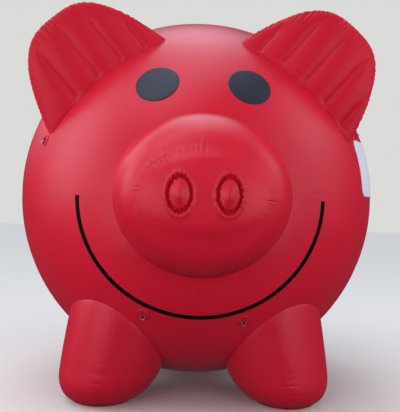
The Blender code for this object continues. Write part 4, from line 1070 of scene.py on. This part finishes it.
# Fan wheel: a forward-curved centrifugal wheel pressed from galvanised steel, on its plated shaft. Its blades
# run from the disc at the motor's side to a ring at the inlet's.
WHEEL_RADIUS = 0.112
WHEEL_DEPTH = 0.100
WHEEL_BLADES = 14
HUB_DEPTH = 0.030
wheel_steel = metal("galvanised_steel", "8e9295", 0.38, 0.60, 35.0)
back = WHEEL_DEPTH / 2.0
hub = back - HUB_DEPTH
for label, profile in (
    ("disc", ((back, 0.0), (back, 0.108), (back - 0.001, WHEEL_RADIUS), (back - 0.004, WHEEL_RADIUS),
              (back - 0.005, 0.108), (back - 0.004, 0.040), (back - 0.012, 0.026), (hub, 0.018), (hub, 0.0))),
    ("ring", ((-back, WHEEL_RADIUS - 0.024), (-back, WHEEL_RADIUS - 0.001), (-back + 0.001, WHEEL_RADIUS),
              (-back + 0.005, WHEEL_RADIUS), (-back + 0.005, WHEEL_RADIUS - 0.002),
              (-back + 0.002, WHEEL_RADIUS - 0.024), (-back, WHEEL_RADIUS - 0.024))),
    ("shaft", ((hub, 0.0), (hub, 0.0075), (0.1595, 0.0075), (0.1605, 0.0065), (0.1605, 0.0))),
):
    turned_part("wheel_" + label, profile, wheel_steel, "fan_wheel", "fan")
share = np.linspace(0.0, 1.0, 9)
radius = WHEEL_RADIUS - 0.0225 + 0.020 * share
for number in range(WHEEL_BLADES):
    lead = 2.0 * math.pi * number / WHEEL_BLADES + 0.16 * (1.0 - share) + 0.05 * np.sin(math.pi * share)
    blade = at_axle(np.array([[0.003 - back], [back - 0.003]]), radius[:, None] * circle(lead)[:, ::-1])
    thicken(surface("wheel_blade_%02d" % number, blade, wheel_steel, "fan_wheel",
                    body="fan"), 0.0016)

# Outlet: a moulded plate bolted to the housing's mouth, with the round spigot that the sleeve slips over.
# Its edges are eased as they leave the mould.
NOZZLE_RADIUS = 0.100
NOZZLE_WALL = 0.005
NOZZLE_PLATE = 0.012
NOZZLE_LENGTH = 0.140
drop = -SCROLL_END / 2.0
mouth = -OUTLET_REACH - FIT


def resized(flat, size):
    """An outline on the mouth, made larger or smaller round the middle of the spigot."""
    return flat * size + [0.0, (1.0 - size) * drop]


def lofted(rows):
    """A grid whose rows are flat outlines, each at its own depth: depth comes first, then the two columns."""
    return np.stack([np.column_stack([np.full(len(flat), depth), flat]) for flat, depth in rows])


outlet_plastic = plastic("black_abs", "0d0d0e", "1a1a1c", 0.44, grain=220.0)
plate_half = SCROLL_WIDTH / 2.0 + SIDE_PLATE
plate = rounded_outline(-plate_half, plate_half, -SCROLL_END - SIDE_FLANGE, SIDE_FLANGE, 0.008, edge_steps=36)
ways = circle(np.arctan2(plate[:, 1] - drop, plate[:, 0]))
bore = (NOZZLE_RADIUS - NOZZLE_WALL) * ways + [0.0, drop]
pipe = NOZZLE_RADIUS * ways + [0.0, drop]
spigot = lofted([(flat, mouth - out) for flat, out in (
    (bore, 0.0), (resized(plate, 0.98), 0.0), (plate, 0.0015), (plate, NOZZLE_PLATE - 0.0015),
    (resized(plate, 0.98), NOZZLE_PLATE), (resized(pipe, 1.03), NOZZLE_PLATE), (pipe, NOZZLE_PLATE + 0.003),
    (pipe, NOZZLE_LENGTH - 0.002), (resized(pipe, 0.985), NOZZLE_LENGTH), (bore, NOZZLE_LENGTH), (bore, 0.0),
)])
surface("outlet_spigot", AXLE + spigot[..., [1, 0, 2]], outlet_plastic, "blower_nozzle")

# Motor: a closed, finned aluminium case, cast and painted grey. A plated boss covers the end of its
# spindle.
MOTOR_FINS = 28
FIN_HEIGHT = 0.0032
MOTOR_PROFILE = (
    # offset, radius, share of the fins
    (0.0, 0.0085, 0.0), (0.0, 0.060, 0.0), (0.004, 0.066, 0.0), (0.010, 0.0685, 0.0), (0.014, 0.0685, 1.0),
    (0.088, 0.0685, 1.0), (0.092, 0.0685, 0.0), (0.096, 0.0705, 0.0), (0.112, 0.0700, 0.0),
    (0.120, 0.0600, 0.0), (0.1235, 0.0440, 0.0), (0.1240, 0.0, 0.0),
)
motor_paint = plastic("grey_enamel_on_cast_aluminium", "4b4f53", "5c6165", 0.42, grain=90.0, worn="9a9a98",
                      wear=0.3)
seat = side_far + FIT
spin = full_turn(MOTOR_FINS * 10 + 1)
offset, radius, finned = np.array(MOTOR_PROFILE).T[:, :, None]
radius = radius + finned * (FIN_HEIGHT * np.clip(np.cos(spin * MOTOR_FINS) * 2.2, -1.0, 1.0) - 0.0012)
surface("motor_case", at_axle(seat + offset, radius[..., None] * circle(spin)), motor_paint, "blower_motor")
boss = ((seat + 0.1235, 0.0), (seat + 0.1235, 0.020), (seat + 0.1248, 0.018), (seat + 0.1250, 0.0))
turned_part("motor_end_boss", boss, bolt_steel, "blower_motor")

# Base: a rubber-coated tray with four round feet. Over the housing goes a bent steel carry handle in a
# grooved PVC grip.
TRAY_THICKNESS = 0.012
FOOT_PLACES = ((-0.105, -0.205), (-0.105, 0.150), (0.105, -0.205), (0.105, 0.150))
HANDLE_HALF_SPAN = 0.075
HANDLE_FRONT = np.array([0.0, -HANDLE_HALF_SPAN, 0.145])
HANDLE_REAR = np.array([0.0, HANDLE_HALF_SPAN, 0.172])
HANDLE_GRIP = 0.0108
GRIP_GROOVE = 0.0006
GRIP_PITCH = 0.009
GRIP_HALF_LENGTH = 0.055
base_rubber = plastic("black_epdm_rubber", "0b0b0b", "171717", 0.78, grain=140.0)
tray = AXLE - [0.0, 0.0, SCROLL_END + SIDE_FLANGE + FIT]
rounded_block("base_tray", tray + [-0.130, -0.235, -TRAY_THICKNESS], tray + [0.130, 0.180, 0.0], 0.004,
              base_rubber, "blower_base")
profile = ((0.0, 0.0), (0.019, 0.0), (0.022, 0.003), (0.021, 0.020), (0.019, tray[2] - 0.008))
reach, height = np.array(profile).T[:, :, None]
spin = full_turn(49)
for number, (x, y) in enumerate(FOOT_PLACES):
    foot = points_at(x + reach * np.cos(spin), AXLE[1] + y + reach * np.sin(spin), height)
    surface("base_foot_%d" % number, foot, base_rubber, "blower_base")
bend = np.radians(np.linspace(180.0, 0.0, 61))
arch = points_at(0.0, HANDLE_HALF_SPAN * np.cos(bend), 0.225 + 0.030 * np.sin(bend))
share = np.linspace(0.0, 1.0, 14)[:, None]
bar = AXLE + np.concatenate([(HANDLE_FRONT + share * (arch[0] - HANDLE_FRONT))[:-1], arch,
                             (arch[-1] + share * (HANDLE_REAR - arch[-1]))[1:]])
grip_pvc = plastic("black_pvc_grip", "0e0e0f", "1b1b1c", 0.62, grain=260.0)
grooves = GRIP_GROOVE * np.cos(distance_along(bar, 0) * 2.0 * math.pi / GRIP_PITCH)
grooves = grooves * (np.abs(bar[:, 1] - AXLE[1]) < GRIP_HALF_LENGTH)
surface("handle_bar", tube(bar, HANDLE_GRIP - np.abs(grooves), 20), grip_pvc, "carry_handle")

# Switch box: a sealed ABS box on the motor side, with a rocker switch and a recessed power inlet with three
# pins. The inlet's hood keeps rain off the contacts.
BOX_LOW = (0.0, 0.060, 0.060)
BOX_HIGH = (0.055, 0.150, 0.130)
ROCKER_RISE = 0.0036
ROCKER_COLUMNS = (
    # y from the axle, share of the rise
    (0.0730, 0.0), (0.0735, 1.0), (0.0825, 1.0), (0.0915, 1.0), (0.0920, 0.0),
)
PIN_SIZE = np.array([0.0075, 0.0018, 0.0044])
PIN_PLACES = ((-0.006, -0.002), (0.0, 0.003), (0.006, -0.002))
box_seat = AXLE + [seat, 0.0, 0.0]
rounded_block("switch_case", box_seat + BOX_LOW, box_seat + BOX_HIGH, 0.005, outlet_plastic, "switch_box")
face = box_seat + [BOX_HIGH[0] + FIT, 0.0, 0.0]
rounded_block("switch_frame", face + [0.0, 0.070, 0.085], face + [0.0030, 0.095, 0.105], 0.0010,
              outlet_plastic, "power_switch")
tilt = np.linspace(-1.0, 1.0, 25)[:, None]
across, share = np.array(ROCKER_COLUMNS).T
rocker = face + points_at(0.0030 + ROCKER_RISE * tilt ** 2 * share, across, 0.095 + 0.0085 * tilt)
rocker_red = plastic("red_polycarbonate", "8c0f10", "a51214", 0.30, grain=400.0)
surface("switch_rocker", rocker, rocker_red, "power_switch")
socket = face + [0.0, 0.120, 0.094]
hood = rounded_outline(-0.016, 0.016, -0.014, 0.014, 0.004, steps=6, edge_steps=12)
well = rounded_outline(-0.012, 0.012, -0.010, 0.010, 0.003, steps=6, edge_steps=12)
cup = lofted(((hood, 0.0), (hood, 0.0148), (hood * 0.96, 0.0157), (well * 1.03, 0.0157), (well, 0.0150),
              (well, 0.0060), (well * 0.0, 0.0060)))
surface("inlet_hood", socket + cup, outlet_plastic, "power_inlet")
for number, (across, rise) in enumerate(PIN_PLACES):
    low = socket + [0.0060, across - PIN_SIZE[1] / 2.0, rise - PIN_SIZE[2] / 2.0]
    rounded_block("inlet_pin_%d" % number, low, low + PIN_SIZE, 0.0005, bolt_steel, "power_inlet", 1)

# Studio: a plain pale floor under a soft dome. Broad bright patches behind, overhead and at the left give the
# cloth its sheen, and four big soft fills, which leave no gloss of their own, light the front.
FOCAL_PIXELS = 600.0
FRAME_WIDTH = 400
CAMERA_BACK = 5.565
CAMERA_SIDE = -0.135
CAMERA_HEIGHT = 1.610
AIM_X = -3.8
AIM_Y = 7.5
ROLL = math.radians(1.5)
BACKDROP_STRENGTH = 0.78
BACKDROP_COLOUR = "f4f4f2"
DOME_COLOUR = "e5ecff"
DOME_BASE = 0.058
DOME_PATCHES = (
    # turn, rise, sharpness, strength
    (180.0, 62.0, 20.0, 2.62),
    (-135.0, 38.0, 20.0, 2.42),
    (-45.0, 62.0, 20.0, 1.77),
    (0.0, 90.0, 20.0, 1.72),
    (-90.0, 38.0, 20.0, 1.55),
    (-90.0, 15.0, 20.0, 1.53),
    (90.0, 38.0, 20.0, 1.25),
    (45.0, 10.0, 6.0, 0.72),
    (-45.0, 10.0, 6.0, 0.63),
)
FILL_AWAY = 9.0
FILL_SIZE = 6.0
FILLS = (
    # name, turn, rise, watts
    ("front_left", -35.0, -5.0, 428.0),
    ("front_right", 35.0, -5.0, 327.0),
    ("left", -80.0, 15.0, 262.0),
    ("right", 80.0, 15.0, 290.0),
)


def direction(turn, rise):
    """A unit vector: turn is in degrees from the front towards the picture's right, rise is above level."""
    turn, rise = math.radians(turn), math.radians(rise)
    return Vector((math.sin(turn) * math.cos(rise), -math.cos(turn) * math.cos(rise), math.sin(rise)))


floor_mesh = bpy.data.meshes.new("floor")
floor_mesh.from_pydata([(-30, -30, 0), (30, -30, 0), (30, 30, 0), (-30, 30, 0)], [], [(0, 1, 2, 3)])
floor = bpy.data.objects.new("floor", floor_mesh)
bpy.context.scene.collection.objects.link(floor)
floor_paint, _, _ = finish_of("matt_floor_paint", Base_Color=colour("e9e5d8"), Roughness=0.9)
floor_mesh.materials.append(floor_paint)
floor.visible_diffuse = False
floor.visible_glossy = False

sky = bpy.data.worlds.new("studio")
bpy.context.scene.world = sky
sky.use_nodes = True
tree = sky.node_tree
looking = node(tree, "TexCoord").outputs["Generated"]
seen = node(tree, "LightPath").outputs["Is Camera Ray"]
dome = DOME_BASE
for turn, rise, sharpness, strength in DOME_PATCHES:
    facing = node(tree, "VectorMath", {"operation": "DOT_PRODUCT"}, {0: looking, 1: direction(turn, rise)})
    ahead = node(tree, "Math", {"operation": "MAXIMUM"}, {0: facing, 1: 0.0})
    patch = node(tree, "Math", {"operation": "POWER"}, {0: ahead, 1: sharpness})
    dome = node(tree, "Math", {"operation": "MULTIPLY_ADD"}, {0: patch, 1: strength, 2: dome})
light = node(tree, "Mix", inputs={"Factor": seen, "A": dome, "B": BACKDROP_STRENGTH})
hue = node(tree, "Mix", {"data_type": "RGBA"}, {
    "Factor": seen, "A": colour(DOME_COLOUR), "B": colour(BACKDROP_COLOUR)})
plug(tree, tree.nodes["Background"], {"Color": hue, "Strength": light})
middle = Vector((0.0, MIDDLE[1], 1.6))
for name, turn, rise, watts in FILLS:
    lamp = bpy.data.lights.new(name + "_fill", "AREA")
    lamp.size = FILL_SIZE
    lamp.energy = watts
    lamp.color = colour(DOME_COLOUR)[:3]
    holder = bpy.data.objects.new(name + "_fill", lamp)
    holder.location = middle + direction(turn, rise) * FILL_AWAY
    holder.rotation_euler = (-direction(turn, rise)).to_track_quat("-Z", "Y").to_euler()
    holder.visible_glossy = False
    bpy.context.scene.collection.objects.link(holder)
bpy.context.scene.view_settings.view_transform = "Standard"

camera_data = bpy.data.cameras.new("photo_camera")
camera_data.sensor_fit = "HORIZONTAL"
camera_data.sensor_width = 36.0
camera_data.lens = FOCAL_PIXELS / FRAME_WIDTH * camera_data.sensor_width
camera = bpy.data.objects.new("photo_camera", camera_data)
bpy.context.scene.collection.objects.link(camera)
camera.location = (CAMERA_SIDE, MIDDLE[1] - CAMERA_BACK, CAMERA_HEIGHT)
pan = math.atan2(-CAMERA_SIDE, CAMERA_BACK) - AIM_X / FOCAL_PIXELS
tilt = math.atan2(MIDDLE[2] - CAMERA_HEIGHT, CAMERA_BACK) - AIM_Y / FOCAL_PIXELS
aim = Euler((math.pi / 2.0 + tilt, 0.0, -pan), "XYZ").to_matrix()
camera.rotation_euler = (aim @ Euler((0.0, 0.0, ROLL), "XYZ").to_matrix()).to_euler("XYZ")
bpy.context.scene.camera = camera
